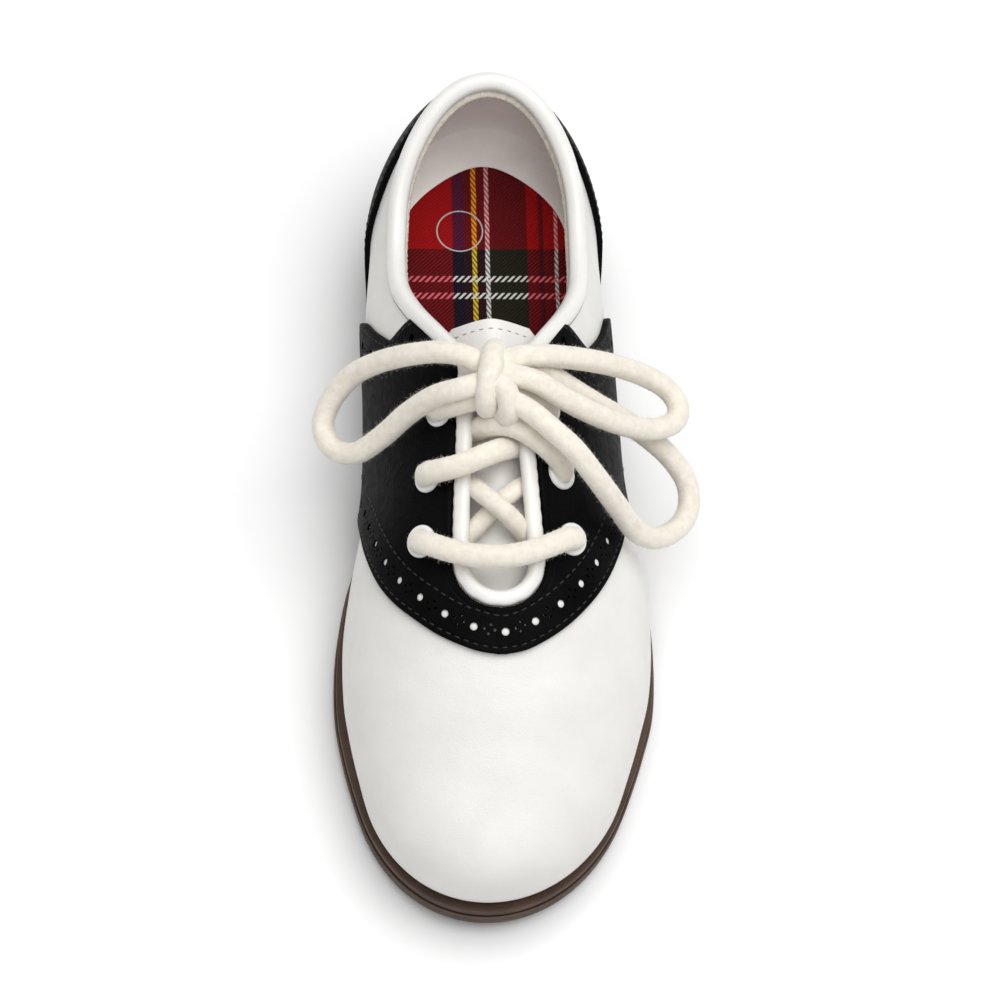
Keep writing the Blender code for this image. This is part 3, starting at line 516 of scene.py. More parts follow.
def binding_frame(loop):
    """Middle line and half-axes of the binding along a stretch of the opening's edge."""
    p, n = loop[:, :3], loop[:, 3:]
    along = np.gradient(p, axis=0)
    along = unit(along)
    away = np.cross(along, n)
    t = into_roll(p[:, 1])[:, None]
    width = STRIP + (ROLL - STRIP) * t
    thick = STRIP_THICK + (ROLL - STRIP_THICK) * t
    depth = -0.2 * MM + (0.2 * MM - WALL / 2) * t
    return p + away * width / 2 + n * depth, away * width / 2, n * thick / 2


def curve_through(points, step):
    """Points a step apart on a smooth curve through the given ones."""
    p = np.array(points, float)
    ends = [2 * p[0] - p[1], *p, 2 * p[-1] - p[-2]]
    line = []
    for i in range(1, len(ends) - 2):
        a, b, c, d = ends[i - 1 : i + 3]
        for t in np.linspace(0, 1, 12, endpoint=False):
            line.append(
                0.5 * (2 * b + (c - a) * t + (2 * a - 5 * b + 4 * c - d) * t**2
                       + (3 * b - a - 3 * c + d) * t**3)
            )
    line = np.array([*line, p[-1]])
    length = np.linalg.norm(np.diff(line, axis=0), axis=1).sum()
    return evenly(line, max(3, int(round(length / step)) + 1))


def eyelet_places():
    """Each eyelet's name and its place in plan."""
    for row, (y, reach) in EYELETS.items():
        for name, side in SIDES.items():
            yield f"eyelet_{row}_{name}", ridge_line(y) + side * reach, y


# Pieces that only the scene has, and their finer details. Small holes are placed by the share of
# the way between two large ones and the step aside; what shows in a hole by its depth and share
# of the radius; a stitch's rings by share of its length, height and share of its thickness.
THICK = 1.5 * MM
SINK = 0.15 * MM
BAND = 9.0 * MM
SPACE = 7.4 * MM
HOLE = 1.0 * MM
PINHOLE = 0.36 * MM
PINHOLES = ((0.34, 0.0), (0.66, 0.0), (0.5, 1.1 * MM), (0.5, -1.1 * MM))
HOLE_ROW = 5.2 * MM
HOLE_SHOWN = ((0.85 * MM, 1.04), (0.6 * MM, 0.92), (0.5 * MM, 0.6))
PLUG = (-2.4 * MM, 1.0 * MM)
THREAD = 0.21 * MM
STITCH = 1.7 * MM
STITCH_SHAPE = (
    (-0.5, -0.34 * MM, 0.6), (-0.36, -0.1 * MM, 1.0), (0.0, -0.02 * MM, 1.05),
    (0.36, -0.1 * MM, 1.0), (0.5, -0.34 * MM, 0.6),
)
STITCH_SIDES = 6
PITCH = 2.3 * MM
SADDLE_ROW = 1.5 * MM
COUNTER_LINES = {"edge": 1.4 * MM, "second": 3.0 * MM}
TONGUE_ROW = 2.4 * MM
NOTCH = 0.75
ROUND_DEEP = 0.45 * MM
ROUND_REACH = 0.5 * MM
THIN_BY = 0.8 * MM
THIN_FROM = 46 * MM
THIN_OVER = 18 * MM
LACE_STEP = 0.55 * MM
LACE_SIDES = 24
BRAID_TURN = 1.9
BRAID_RELIEF = 0.035
PINCH = 0.22
PINCH_RUN = 5.0 * MM
IN_HOLE = -2.6
FIBRES = 30
FIBRE = 0.023 * MM
FIBRE_LONG = (0.6 * MM, 1.7 * MM)
RING_PLACE = (-6.8 * MM, 73.9 * MM)
RING_RADIUS = 5.85 * MM
RING_LINE = 0.2 * MM
BEAD = 0.32 * MM
TAPE_DOWN = 2.2 * MM
TAPE_IN = 2.8 * MM
TAPE_HALF = 1.7 * MM
TAPE_THICK = 1.35 * MM
TAPE_RAGGED = 0.08
TAPE_STITCHES = 96
ROLL_SIDES = 24
ROLL_FULLNESS = 2.3
ROLL_PUCKERS = 40
COVE_SIDE = 0.7 * MM
COVE_HEEL = 4.6 * MM
COVE_TOP = 0.17
COVE_END = -20 * MM
COVE_FROM = 76 * MM
COVE_OVER = 26 * MM

# Saddle's rear edge on each side, by the way up to the notch, and how far back its peak reaches.
SADDLE_CORNER = {
    "share": (0.00, 0.25, 0.47, 0.75, 1.00),
    "inner": (0.284, 0.292, 0.302, 0.336, 0.364),
    "outer": (0.284, 0.290, 0.299, 0.346, 0.380),
}
PEAK = {"inner": 1.6 * MM, "outer": 2.8 * MM}

# Creases over the vamp: place along the shoe, bend, half width, left and right end, depth, in mm.
CREASES = (
    (-55.5, 0.012, 1.5, -26, 22, 0.28),
    (-59.5, 0.009, 1.9, -18, 26, 0.20),
    (-64.5, 0.007, 2.4, -24, 14, 0.15),
)

# Camera, light and floor; a lamp has a place in metres, a size in metres and a power in watts.
LENS = 134.9
CAMERA_UP = math.radians(65)
CAMERA_FAR = 950 * MM
CAMERA_OVER = (-45.4 * MM, 3.3 * MM)
CAMERA_AIM = (1.5 * MM, -5.5 * MM, 30 * MM)
WORLD_LIGHT = 0.40
LAMPS = {"key": ((0.22, 0.10, 1.3), 1.1, 15.5), "fill": ((0.1, -0.95, 1.0), 0.8, 2.0)}
FLOOR_HALF = 3.0
FLOOR_TONE = (0.93, 0.93, 0.93)

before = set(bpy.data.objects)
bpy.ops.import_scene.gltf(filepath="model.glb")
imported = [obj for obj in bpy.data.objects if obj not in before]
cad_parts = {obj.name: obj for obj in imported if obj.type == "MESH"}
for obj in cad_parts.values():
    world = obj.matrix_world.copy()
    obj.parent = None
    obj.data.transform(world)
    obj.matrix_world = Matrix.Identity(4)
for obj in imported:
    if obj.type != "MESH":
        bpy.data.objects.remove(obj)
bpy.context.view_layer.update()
scene = bpy.context.scene


class Net:
    """Short words for the nodes of one material."""

    def __init__(self, name):
        self.material = bpy.data.materials.new(name)
        self.material.use_nodes = True
        self.nodes = self.material.node_tree.nodes
        self.links = self.material.node_tree.links
        self.shader = self.nodes["Principled BSDF"]
        self.place = self.nodes.new("ShaderNodeTexCoord").outputs["Object"]

    def put(self, socket, value):
        if hasattr(value, "is_output"):
            self.links.new(value, socket)
        else:
            socket.default_value = value

    def node(self, kind, *values, **named):
        """A new node with its inputs filled by order or by name."""
        node = self.nodes.new("ShaderNode" + kind)
        for key, value in [*enumerate(values), *named.items()]:
            self.put(node.inputs[key], value)
        return node

    def maths(self, operation, a, b=0.0, c=0.0):
        node = self.node("Math", a, b, c)
        node.operation = operation
        return node.outputs[0]

    def noise(self, scale, detail, rough=0.5):
        node = self.node("TexNoise", Vector=self.place, Scale=scale, Detail=detail, Roughness=rough)
        return node.outputs["Fac"]

    def cells(self, scale):
        node = self.node("TexVoronoi", Vector=self.place, Scale=scale)
        node.feature = "DISTANCE_TO_EDGE"
        return node.outputs["Distance"]

    def mix(self, factor, a, b):
        node = self.node("Mix", Factor=factor)
        node.data_type = "RGBA"
        for socket, value in ((node.inputs[6], a), (node.inputs[7], b)):
            self.put(socket, (*value, 1) if isinstance(value, tuple) else value)
        return node.outputs[2]

    def ramp(self, value, low, high, to_low=0.0, to_high=1.0):
        return self.node("MapRange", value, low, high, to_low, to_high).outputs[0]

    def set(self, **values):
        names = {
            "rough": "Roughness", "coat": "Coat Weight", "coat_rough": "Coat Roughness",
            "sheen": "Sheen Weight", "sheen_rough": "Sheen Roughness", "spec": "Specular IOR Level",
        }
        for key, value in values.items():
            self.put(self.shader.inputs[names[key]], value)

    def colour(self, value):
        value = (*value, 1) if isinstance(value, tuple) else value
        self.put(self.shader.inputs["Base Color"], value)

    def bumps(self, *heights):
        """heights are pairs of a height and its distance."""
        last = None
        for height, distance in heights:
            node = self.node("Bump", Height=height, Distance=distance)
            if last is not None:
                self.links.new(last, node.inputs["Normal"])
            last = node.outputs["Normal"]
        self.links.new(last, self.shader.inputs["Normal"])


def look(name, tones, mottle=(), rough_noise=(), bumps=(), **values):
    """A material of one tone, or of two that a noise mixes, with fine bumps.

    mottle and rough_noise are a noise's numbers and the two ends of its range or of the
    roughness; each row of bumps is a noise's numbers and a height.
    """
    net = Net(name)
    if mottle:
        *noise, low, high = mottle
        net.colour(net.mix(net.ramp(net.noise(*noise), low, high), *tones))
    else:
        net.colour(tones[0])
    if rough_noise:
        *noise, low, high = rough_noise
        values["rough"] = net.ramp(net.noise(*noise), 0.3, 0.7, low, high)
    if bumps:
        net.bumps(*((net.noise(*noise), height) for *noise, height in bumps))
    net.set(**values)
    return net


def leather(name, tones, grain, depth, rough, **values):
    """Leather with pebbles between fine cracks, and softer hills under them."""
    net = look(name, tones, (90, 4, 0.35, 0.65), (400, 2, rough - 0.06, rough + 0.08), **values)
    pebbles = net.ramp(net.cells(grain), 0.0, 0.25)
    hills = net.noise(grain * 0.5, 3)
    net.bumps((pebbles, depth), (hills, depth * 1.4), (net.noise(160, 2), 0.00012))
    return net.material


def sole_look(name, tone):
    """Matt moulded rubber with faint streaks."""
    return look(
        name, (tone, tuple(c * 0.62 for c in tone)), (70, 6, 0.6, 0.3, 0.7), (260, 3, 0.48, 0.66),
        ((900, 4, 0.00008), (120, 2, 0.0001)), spec=0.35,
    ).material


def thread_look(name, tone):
    return look(name, (tone,), bumps=((3000, 2, 0.00005),), rough=0.6).material


# Tartan
RED = (0.30, 0.001, 0.002)
MAROON = (0.055, 0.002, 0.004)
NAVY = (0.010, 0.005, 0.032)
BLACK = (0.005, 0.003, 0.006)
GREEN = (0.001, 0.013, 0.005)
ORANGE = (0.80, 0.30, 0.01)
YELLOW = (0.62, 0.46, 0.03)
PINK = (0.78, 0.34, 0.36)
PALE = (0.62, 0.62, 0.58)
ROSE = (0.62, 0.12, 0.15)
# Places in millimetres on the insole: stripes from, to and tone; where the dark band across ends;
# twisted lines with half their width and their tones behind and on the band; dashed lines across.
WARP = ((-8.7, -5.6, NAVY), (-5.6, 10.4, MAROON), (13.4, 14.6, MAROON))
WEFT_END = 68.7
TWISTED = ((-3.1, 0.62, ORANGE, YELLOW), (0.2, 0.55, PINK, PALE), (17.8, 0.45, PINK, PALE))
DASHED = (55.1, 60.0)


def tartan_look():
    """Crossed stripes with a twill: warp on one part of each slanted rib, weft on the other."""
    net = Net("tartan_look")
    split = net.nodes.new("ShaderNodeSeparateXYZ")
    net.links.new(net.place, split.inputs[0])
    wobble = net.maths("MULTIPLY", net.maths("SUBTRACT", net.noise(160, 2), 0.5), 0.5)
    x, y = [net.maths("MULTIPLY_ADD", split.outputs[k], 1000.0, wobble) for k in (0, 1)]
    slant = net.maths("DIVIDE", net.maths("SUBTRACT", x, y), 1.1)
    rib = net.maths("ABSOLUTE", net.maths("SUBTRACT", net.maths("FRACT", slant), 0.5))
    over_weft = net.ramp(rib, 0.05, 0.14)

    def stripe(value, low, high, soft=0.08):
        centre, half = (low + high) / 2, (high - low) / 2
        far = net.maths("ABSOLUTE", net.maths("SUBTRACT", value, centre))
        return net.ramp(far, half - soft, half + soft, 1.0, 0.0)

    warp = RED
    for low, high, tone in WARP:
        warp = net.mix(stripe(x, low, high), warp, tone)
    in_weft = stripe(y, -80.0, WEFT_END)
    dark = net.mix(stripe(x, 0.6, 10.4), net.mix(stripe(x, -8.7, 0.6), MAROON, BLACK), GREEN)
    cloth = net.mix(over_weft, warp, net.mix(in_weft, RED, dark))
    keep = net.maths("MULTIPLY_ADD", in_weft, -0.7, 0.74)
    cloth = net.mix(keep, cloth, warp)
    for place, half, above, below in TWISTED:
        phase = net.maths("MULTIPLY_ADD", x, 1.6, y)
        twist = net.ramp(net.maths("SINE", net.maths("MULTIPLY", phase, 3.7)), -0.6, 0.3, 0.2, 1.0)
        on = net.maths("MULTIPLY", stripe(x, place - half, place + half, 0.1), twist)
        cloth = net.mix(on, cloth, net.mix(in_weft, above, below))
    for place in DASHED:
        phase = net.maths("MULTIPLY_ADD", y, -0.9, x)
        dash = net.ramp(net.maths("SINE", net.maths("MULTIPLY", phase, 3.9)), -0.1, 0.3)
        on = net.maths("MULTIPLY", stripe(y, place - 0.85, place + 0.85, 0.1), dash)
        cloth = net.mix(on, cloth, net.mix(stripe(x, -8.7, 10.4), ROSE, PALE))
    net.colour(cloth)
    net.bumps((rib, 0.0003), (net.noise(3000, 3), 0.0001))
    net.set(rough=0.95, sheen=0.15, sheen_rough=0.5, spec=0.1)
    return net.material


white = leather(
    "white_leather_look", ((0.79, 0.772, 0.745), (0.755, 0.737, 0.71)), 1500, 0.00002, 0.42,
    coat=0.12, coat_rough=0.35, spec=0.45,
)
rolled = leather(
    "white_binding_look", ((0.83, 0.815, 0.785), (0.79, 0.775, 0.745)), 1700, 0.000015, 0.36,
    coat=0.15, coat_rough=0.35, spec=0.45,
)
black = leather(
    "black_leather_look", ((0.0022, 0.0022, 0.0025), (0.004, 0.004, 0.0043)), 1300, 0.00005, 0.46,
    coat=0.0, coat_rough=0.35, spec=0.025,
)
lining = look(
    "lining_look", ((0.95, 0.92, 0.885), (0.89, 0.855, 0.82)), (120, 5, 0.35, 0.65),
    bumps=((2600, 3, 0.00006), (300, 3, 0.0001)), rough=0.9, sheen=0.35, sheen_rough=0.5, spec=0.2,
).material
cotton = look(
    "lace_look", ((0.88, 0.83, 0.735), (0.78, 0.72, 0.62)), (500, 4, 0.3, 0.7),
    bumps=((3500, 4, 0.7, 0.00012), (1200, 2, 0.0001)),
    rough=0.95, sheen=0.5, sheen_rough=0.6, spec=0.15,
).material
enamel = look(
    "enamel_look", ((0.85, 0.85, 0.84),), (), (700, 2, 0.2, 0.32), ((900, 2, 0.00002),),
    coat=0.4, coat_rough=0.1,
).material
tape = look(
    "tape_look", ((0.84, 0.80, 0.72), (0.72, 0.66, 0.57)), (900, 4, 0.7, 0.4, 0.6),
    bumps=((2200, 4, 0.7, 0.0003),), rough=0.9, spec=0.2,
).material
sole_dark = sole_look("sole_look", (0.072, 0.037, 0.024))
sole_top = sole_look("welt_look", (0.085, 0.046, 0.030))
# The bead's lighter brown is a painted highlight along the sole's edge, not the rubber's own tone.
sole_edge_painted_highlight = sole_look("bead_painted_highlight_look", (0.13, 0.085, 0.06))
black_thread = thread_look("black_thread_look", (0.006, 0.006, 0.006))
tan_thread = thread_look("tan_thread_look", (0.50, 0.44, 0.34))
grey_thread = thread_look("grey_thread_look", (0.42, 0.41, 0.39))
tartan = tartan_look()


def new_mesh(name, points, faces, turn_out=False):
    mesh = bpy.data.meshes.new(name)
    mesh.from_pydata([tuple(p) for p in points], [], faces)
    if turn_out:
        bm = bmesh.new()
        bm.from_mesh(mesh)
        bmesh.ops.recalc_face_normals(bm, faces=bm.faces)
        bm.to_mesh(mesh)
        bm.free()
    return mesh


def shade(mesh, smooth_angle=40):
    mesh.shade_smooth()
    mesh.set_sharp_from_angle(angle=math.radians(smooth_angle))


def piece(name, mesh, finishes, stands_for, smooth_angle=40):
    """A mesh as a named piece of the scene that rides on the part."""
    for finish in finishes:
        mesh.materials.append(finish)
    shade(mesh, smooth_angle)
    thing = bpy.data.objects.new(name, mesh)
    scene.collection.objects.link(thing)
    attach(thing, "root")
    if stands_for:
        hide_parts(*stands_for)
    return thing


def weld(grids):
    """Grids of points as one sheet: points, normals and faces, all turned outward."""
    points, faces = [], []
    for grid in grids:
        rows, columns = grid.shape[:2]
        first = len(points)
        points += list(grid.reshape(-1, 3))
        for i in range(rows - 1):
            for j in range(columns - 1):
                k = first + i * columns + j
                faces.append((k, k + 1, k + columns + 1, k + columns))
    mesh = new_mesh("weld", points, faces)
    bm = bmesh.new()
    bm.from_mesh(mesh)
    bpy.data.meshes.remove(mesh)
    bmesh.ops.remove_doubles(bm, verts=bm.verts, dist=0.02 * MM)
    bmesh.ops.recalc_face_normals(bm, faces=bm.faces)
    bm.normal_update()
    bm.verts.index_update()
    p = np.array([v.co for v in bm.verts])
    n = np.array([v.normal for v in bm.verts])
    f = [tuple(v.index for v in face.verts) for face in bm.faces]
    bm.free()
    if ((p - p.mean(0)) * n).sum() < 0:
        f, n = [tuple(reversed(i)) for i in f], -n
    return p, n, f


def rim_edges(faces):
    """The edges of a sheet that only one of its faces has."""
    edges = {edge: True for face in faces for edge in zip(face, (*face[1:], face[0]))}
    return [(i, j) for i, j in edges if (j, i) not in edges]


def wall(name, sheet, inner, outer, relief=0):
    """A closed wall between two heights over a sheet.

    The relief is each point's own height on the outside. Faces get index 0 outside,
    1 inside and 2 on the rim.
    """
    p, n, f = sheet
    lift = np.full(len(p), outer) + relief
    count = len(p)
    under = [tuple(i + count for i in reversed(face)) for face in f]
    rim = [(j, i, i + count, j + count) for i, j in rim_edges(f)]
    mesh = new_mesh(name, [*(p + lift[:, None] * n), *(p + inner * n)], [*f, *under, *rim])
    index = [0] * len(f) + [1] * len(under) + [2] * len(rim)
    mesh.polygons.foreach_set("material_index", index)
    return mesh


def creases(p):
    """Soft troughs and ridges over the vamp, in front of the saddle."""
    x, y = p[:, 0] / MM, p[:, 1] / MM
    depth = np.zeros(len(p))
    for at, bend, half, left, right, deep in CREASES:
        line = at + bend * x**2
        along = ease((x - left) / 10) * ease((right - x) / 10)
        depth -= deep * along * np.exp(-(((y - line) / half) ** 2))
        depth += 0.5 * deep * along * np.exp(-(((y - line - 2.2 * half) / half) ** 2))
    return depth * MM * (p[:, 2] > 12 * MM)


def fine_stations(count):
    """Stations along the shoe, closer together round the throat's foot."""
    cut = station(THROAT_BOTTOM - STRIP - GAP)
    turn = station(THROAT_BOTTOM + THROAT_BOTTOM_HALF)
    back = np.linspace(0, turn, count)
    foot = turn + (cut - turn) * np.sin(np.linspace(0, math.pi / 2, 24))[1:]
    front = 1 - (1 - cut) * np.linspace(1, 0, count // 2)[1:]
    return np.concatenate([back, foot, front])


def make_upper():
    a = fine_stations(110)
    t = np.linspace(0, 1, 64)
    grids = []
    for side in (1, -1):
        high = upper_edge(side, a)
        grids.append(skin(side, a[:, None], high[:, None] * t))
    sheet = weld(grids)
    mesh = wall("upper_leather", sheet, -WALL, 0, creases(sheet[0]))
    piece("upper_leather", mesh, (white, lining, white), ("upper",))


def saddle_grids(rows=56):
    """The saddle's grids on the skin, and the lines along its front and rear edges."""
    foot = THROAT_BOTTOM - STRIP - GAP
    turn = THROAT_BOTTOM + THROAT_BOTTOM_HALF
    front = y_at(SADDLE["front_outer"][-1])
    fine = np.linspace(1, 0, 400)
    grids = []
    lines = {}
    for name, side in SIDES.items():
        notch = y_at(SADDLE_CORNER[name][-1])
        y = np.concatenate(
            [
                front + (foot - front) * np.linspace(0, 1, 40) ** 1.6,
                foot + (turn - foot) * (1 - np.cos(np.linspace(0, math.pi / 2, 24)))[1:],
                np.linspace(turn, notch, 70)[1:],
            ]
        )
        edge = y_at(smooth(SADDLE, "front_" + name, fine))
        near = np.clip((1 - fine) / 0.14, 0, 1)
        edge = front + (edge - front) * near * (2 - near)
        low = np.maximum(np.interp(y, edge, fine), OVERLAY_FOOT)
        high = upper_edge(side, station(y))
        high[:40] = 1
        t = np.linspace(0, 1, rows + 1)
        ramp = ease((np.arange(len(y)) - (len(y) - 16)) / 15)
        rise = PEAK[name] * ramp[:, None] * ease((t - NOTCH) / (1 - NOTCH))
        u = low[:, None] + (high - low)[:, None] * t
        grids.append(skin(side, station(y[:, None] + rise), u))
        lines["front_" + name] = grids[-1][low > OVERLAY_FOOT, 0]
        rear = grids[-1][-1, ::-1]
        notch_row = int(round(rows * NOTCH))
        high_back = OVERLAY_FOOT + (high[-1] - OVERLAY_FOOT) * NOTCH * np.linspace(1, 0.04, 44)
        w = (high_back - OVERLAY_FOOT) / (high_back[0] - OVERLAY_FOOT)
        y_back = y_at(smooth(SADDLE_CORNER, name, w))
        y_back[0] = y[-1]
        t = np.linspace(0, 1, notch_row + 1)
        u = OVERLAY_FOOT + (high_back - OVERLAY_FOOT)[:, None] * t
        grids.append(skin(side, station(y_back)[:, None], u))
        lines["rear_" + name] = np.concatenate([rear[: rows - notch_row], grids[-1][:, -1]])
    return grids, lines


def near_edge(sheet):
    """Distance of each point of a sheet from its rim."""
    p, _, f = sheet
    rim = np.array(sorted({i for i, _ in rim_edges(f)}))
    best = np.full(len(p), np.inf)
    for i in range(0, len(rim), 200):
        d = np.linalg.norm(p[:, None] - p[rim[i : i + 200]][None], axis=2)
        best = np.minimum(best, d.min(1))
    return best


def rounded(edge, deep=ROUND_DEEP, reach=ROUND_REACH):
    """Height lost near a rim."""
    return -deep * np.clip(1 - edge / reach, 0, 1) ** 2


def furrow(edge, deep, at, half):
    """Height lost along a row of stitches at this distance from a rim."""
    return -deep * np.exp(-(((edge - at) / half) ** 2))


def cut_from(thing, cutter_mesh):
    """Takes the cutter's solids out of a piece, for good."""
    cutter = bpy.data.objects.new("cutter", cutter_mesh)
    scene.collection.objects.link(cutter)
    cut = thing.modifiers.new("cut", "BOOLEAN")
    cut.operation = "DIFFERENCE"
    cut.solver = "MANIFOLD"
    cut.object = cutter
    graph = bpy.context.evaluated_depsgraph_get()
    mesh = bpy.data.meshes.new_from_object(thing.evaluated_get(graph))
    thing.modifiers.clear()
    old = thing.data
    thing.data = mesh
    bpy.data.meshes.remove(old)
    bpy.data.objects.remove(cutter)
    shade(mesh)


class Face:
    """The outer face of a piece, to set small things on."""

    def __init__(self, sheet, height):
        p, n, f = sheet
        height = np.full(len(p), height)[:, None]
        self.tree = BVHTree.FromPolygons([Vector(q) for q in p + n * height], f)
        self.normals = n
        self.faces = f

    def at(self, point):
        place, _, index, _ = self.tree.find_nearest(Vector(point))
        normal = self.normals[list(self.faces[index])].mean(0)
        return np.array(place), unit(normal)


def inset_line(face, line, inset, spacing):
    """Places along a line, moved in over the face by the inset: place, normal and way along."""
    line = evenly(line, 300)
    way = np.gradient(line, axis=0)
    on = [face.at(point) for point in line]
    aside = np.array([np.cross(normal, along) for (_, normal), along in zip(on, way)])
    for _ in range(12):
        aside[1:-1] = (aside[:-2] + 2 * aside[1:-1] + aside[2:]) / 4
    aside = unit(aside)
    places = np.array([face.at(place + out * inset)[0] for (place, _), out in zip(on, aside)])
    length = np.linalg.norm(np.diff(places, axis=0), axis=1).sum()
    places = evenly(places, 2 * max(1, int(length / spacing / 2)) + 1)
    way = np.gradient(places, axis=0)
    way = unit(way)
    return [(*face.at(q), w) for q, w in zip(places, way)]


def stack_faces(first, levels, sides, capped=True):
    """Faces of a stack of rings whose points start at first."""
    faces = []
    last = first + (levels - 1) * sides
    for a in range(first, last, sides):
        for i in range(sides):
            j = (i + 1) % sides
            faces.append((a + i, a + j, a + sides + j, a + sides + i))
    if capped:
        faces.append(tuple(range(first + sides - 1, first - 1, -1)))
        faces.append(tuple(range(last, last + sides)))
    return faces


def bodies(places, profile, sides, lying=False):
    """Points and faces of small closed bodies, one at each place.

    Each is a stack of rings across the leather, or along the line if lying. A row of the profile
    is a ring's way along the line, its height and its radius.
    """
    turn = 2 * math.pi * np.arange(sides)[:, None] / sides
    points, faces = [], []
    for place, normal, way in places:
        aside = np.cross(normal, way)
        ring = (aside if lying else -aside) * np.cos(turn) + (normal if lying else way) * np.sin(turn)
        first = len(points)
        for along, height, radius in profile:
            points += list(place + way * along + normal * height + ring * radius)
        faces += stack_faces(first, len(profile), sides)
    return points, faces


def stitches(name, places, finish, length=STITCH, thick=THREAD):
    """A row of short threads, their ends sunk into the leather."""
    profile = [(t * length, height, size * thick) for t, height, size in STITCH_SHAPE]
    mesh = new_mesh(name, *bodies(places, profile, STITCH_SIDES, lying=True))
    piece(name, mesh, (finish,), (), smooth_angle=70)


def plugs(places, radius, sides):
    """Points and faces of what is punched out of the leather."""
    return bodies(places, [(0, height, radius) for height in PLUG], sides)


def dots(places):
    """White leather that shows in the front band's holes."""
    profile = [(0, -deep, reach * HOLE) for deep, reach in HOLE_SHOWN]
    mesh = new_mesh("saddle_hole_leather", *bodies(places, profile, 16))
    piece("saddle_hole_leather", mesh, (rolled,), ())


def make_saddle():
    grids, lines = saddle_grids()
    sheet = weld(grids)
    edge = near_edge(sheet)
    relief = rounded(edge) + furrow(edge, 0.16 * MM, SADDLE_ROW, 0.28 * MM)
    mesh = wall("saddle_leather", sheet, -SINK, THICK, relief)
    saddle = piece("saddle_leather", mesh, (black, black, black), ("saddle",))
    face = Face(sheet, THICK + relief)
    front = np.concatenate([lines["front_inner"][::-1], lines["front_outer"][1:]])
    rows = {"front": front, "rear_inner": lines["rear_inner"], "rear_outer": lines["rear_outer"]}
    points, faces = [], []
    for name, line in rows.items():
        into = inset_sign(face, line, sheet)
        for row, inset in (("stitch_", SADDLE_ROW), ("stitch_band_", BAND)):
            places = inset_line(face, line, into * inset, PITCH)
            stitches(row + name, places, black_thread)
        big = inset_line(face, line, into * HOLE_ROW, SPACE)
        if name == "front":
            dots(big)
        small = []
        for (p, n, w), (q, _, _) in zip(big[:-1], big[1:]):
            for t, aside in PINHOLES:
                small.append((*face.at(p + (q - p) * t + np.cross(n, w) * aside), w))
        for more, new_faces in (plugs(big, HOLE, 14), plugs(small, PINHOLE, 8)):
            faces += [tuple(i + len(points) for i in f) for f in new_faces]
            points += more
    cut_from(saddle, new_mesh("plugs", points, faces))


def inset_sign(face, line, sheet):
    """1 or -1, so that an inset along the line goes in from the rim of the sheet."""
    k = len(line) // 2
    place, normal = face.at(line[k])
    aside = np.cross(normal, line[k + 1] - line[k - 1])
    centre = sheet[0].mean(0)
    return 1 if (centre - place) @ aside > 0 else -1


def make_counter():
    end = float(station(y_at(COUNTER["share"][-1])))
    a = np.linspace(0, end, 80)
    share = share_at(run(a, UPPER_HEEL, UPPER_TOE))
    t = np.linspace(0, 1, 44)
    grids = []
    for side in (1, -1):
        high = np.maximum(upper_edge(side, a) * smooth(COUNTER, "up", share), 0.06)
        u = OVERLAY_FOOT + (high - OVERLAY_FOOT)[:, None] * t
        grids.append(skin(side, a[:, None], u))
    sheet = weld(grids)
    thinner = -THIN_BY * ease((sheet[0][:, 2] - THIN_FROM) / THIN_OVER)
    relief = thinner + rounded(near_edge(sheet))
    mesh = wall("counter_leather", sheet, -SINK, THICK, relief)
    piece("counter_leather", mesh, (black, black, black), ("counter",))
    face = Face(sheet, THICK + relief)
    for name, grid in zip(("outer", "inner"), grids):
        line = grid[33:, -1]
        into = inset_sign(face, line, sheet)
        for row, inset in COUNTER_LINES.items():
            places = inset_line(face, line, into * inset, PITCH)
            stitches(f"stitch_counter_{row}_{name}", places, black_thread)


def make_tongue():
    rows = []
    for t in np.linspace(0, 1, 40):
        y = TONGUE_FOOT + (TONGUE_TOP - TONGUE_FOOT) * t
        half = TONGUE_HALF * smooth(TONGUE_SHAPE, "half", t)
        depth = TONGUE_DEPTH * smooth(TONGUE_SHAPE, "depth", t)
        mid = ridge_line(y)
        rows.append([over(mid + half * w, y, -depth) for w in np.linspace(-1, 1, 41)])
    rows = np.array(rows)
    for _ in range(60):
        rows[:, 1:-1] = (rows[:, :-2] + 2 * rows[:, 1:-1] + rows[:, 2:]) / 4
    sheet = weld([rows])
    edge = near_edge(sheet)
    relief = furrow(edge, 0.14 * MM, TONGUE_ROW, 0.35 * MM) + rounded(edge, 0.5 * MM, 0.8 * MM)
    mesh = wall("tongue_leather", sheet, -TONGUE, 0, relief)
    piece("tongue_leather", mesh, (white, lining, white), ("tongue",))
    face = Face(sheet, 0)
    line = rows[-1, 2:-2]
    into = inset_sign(face, line, sheet)
    places = inset_line(face, line, into * TONGUE_ROW, 2.1 * MM)
    stitches("stitch_tongue", places, grey_thread, length=1.4 * MM, thick=0.16 * MM)


def tube(name, middles, across, up, sides, fullness=2.0, swell=None):
    """A closed tube with a rounded section; swell changes its radius by ring and side."""
    turn = np.linspace(0, 2 * math.pi, sides, endpoint=False)
    c, s = np.cos(turn), np.sin(turn)
    c = np.sign(c) * np.abs(c) ** (2 / fullness)
    s = np.sign(s) * np.abs(s) ** (2 / fullness)
    size = np.ones((len(middles), sides)) if swell is None else swell
    out = across[:, None] * c[None, :, None] + up[:, None] * s[None, :, None]
    points = middles[:, None] + out * size[:, :, None]
    faces = stack_faces(0, len(middles), sides)
    return new_mesh(name, points.reshape(-1, 3), faces, turn_out=True)


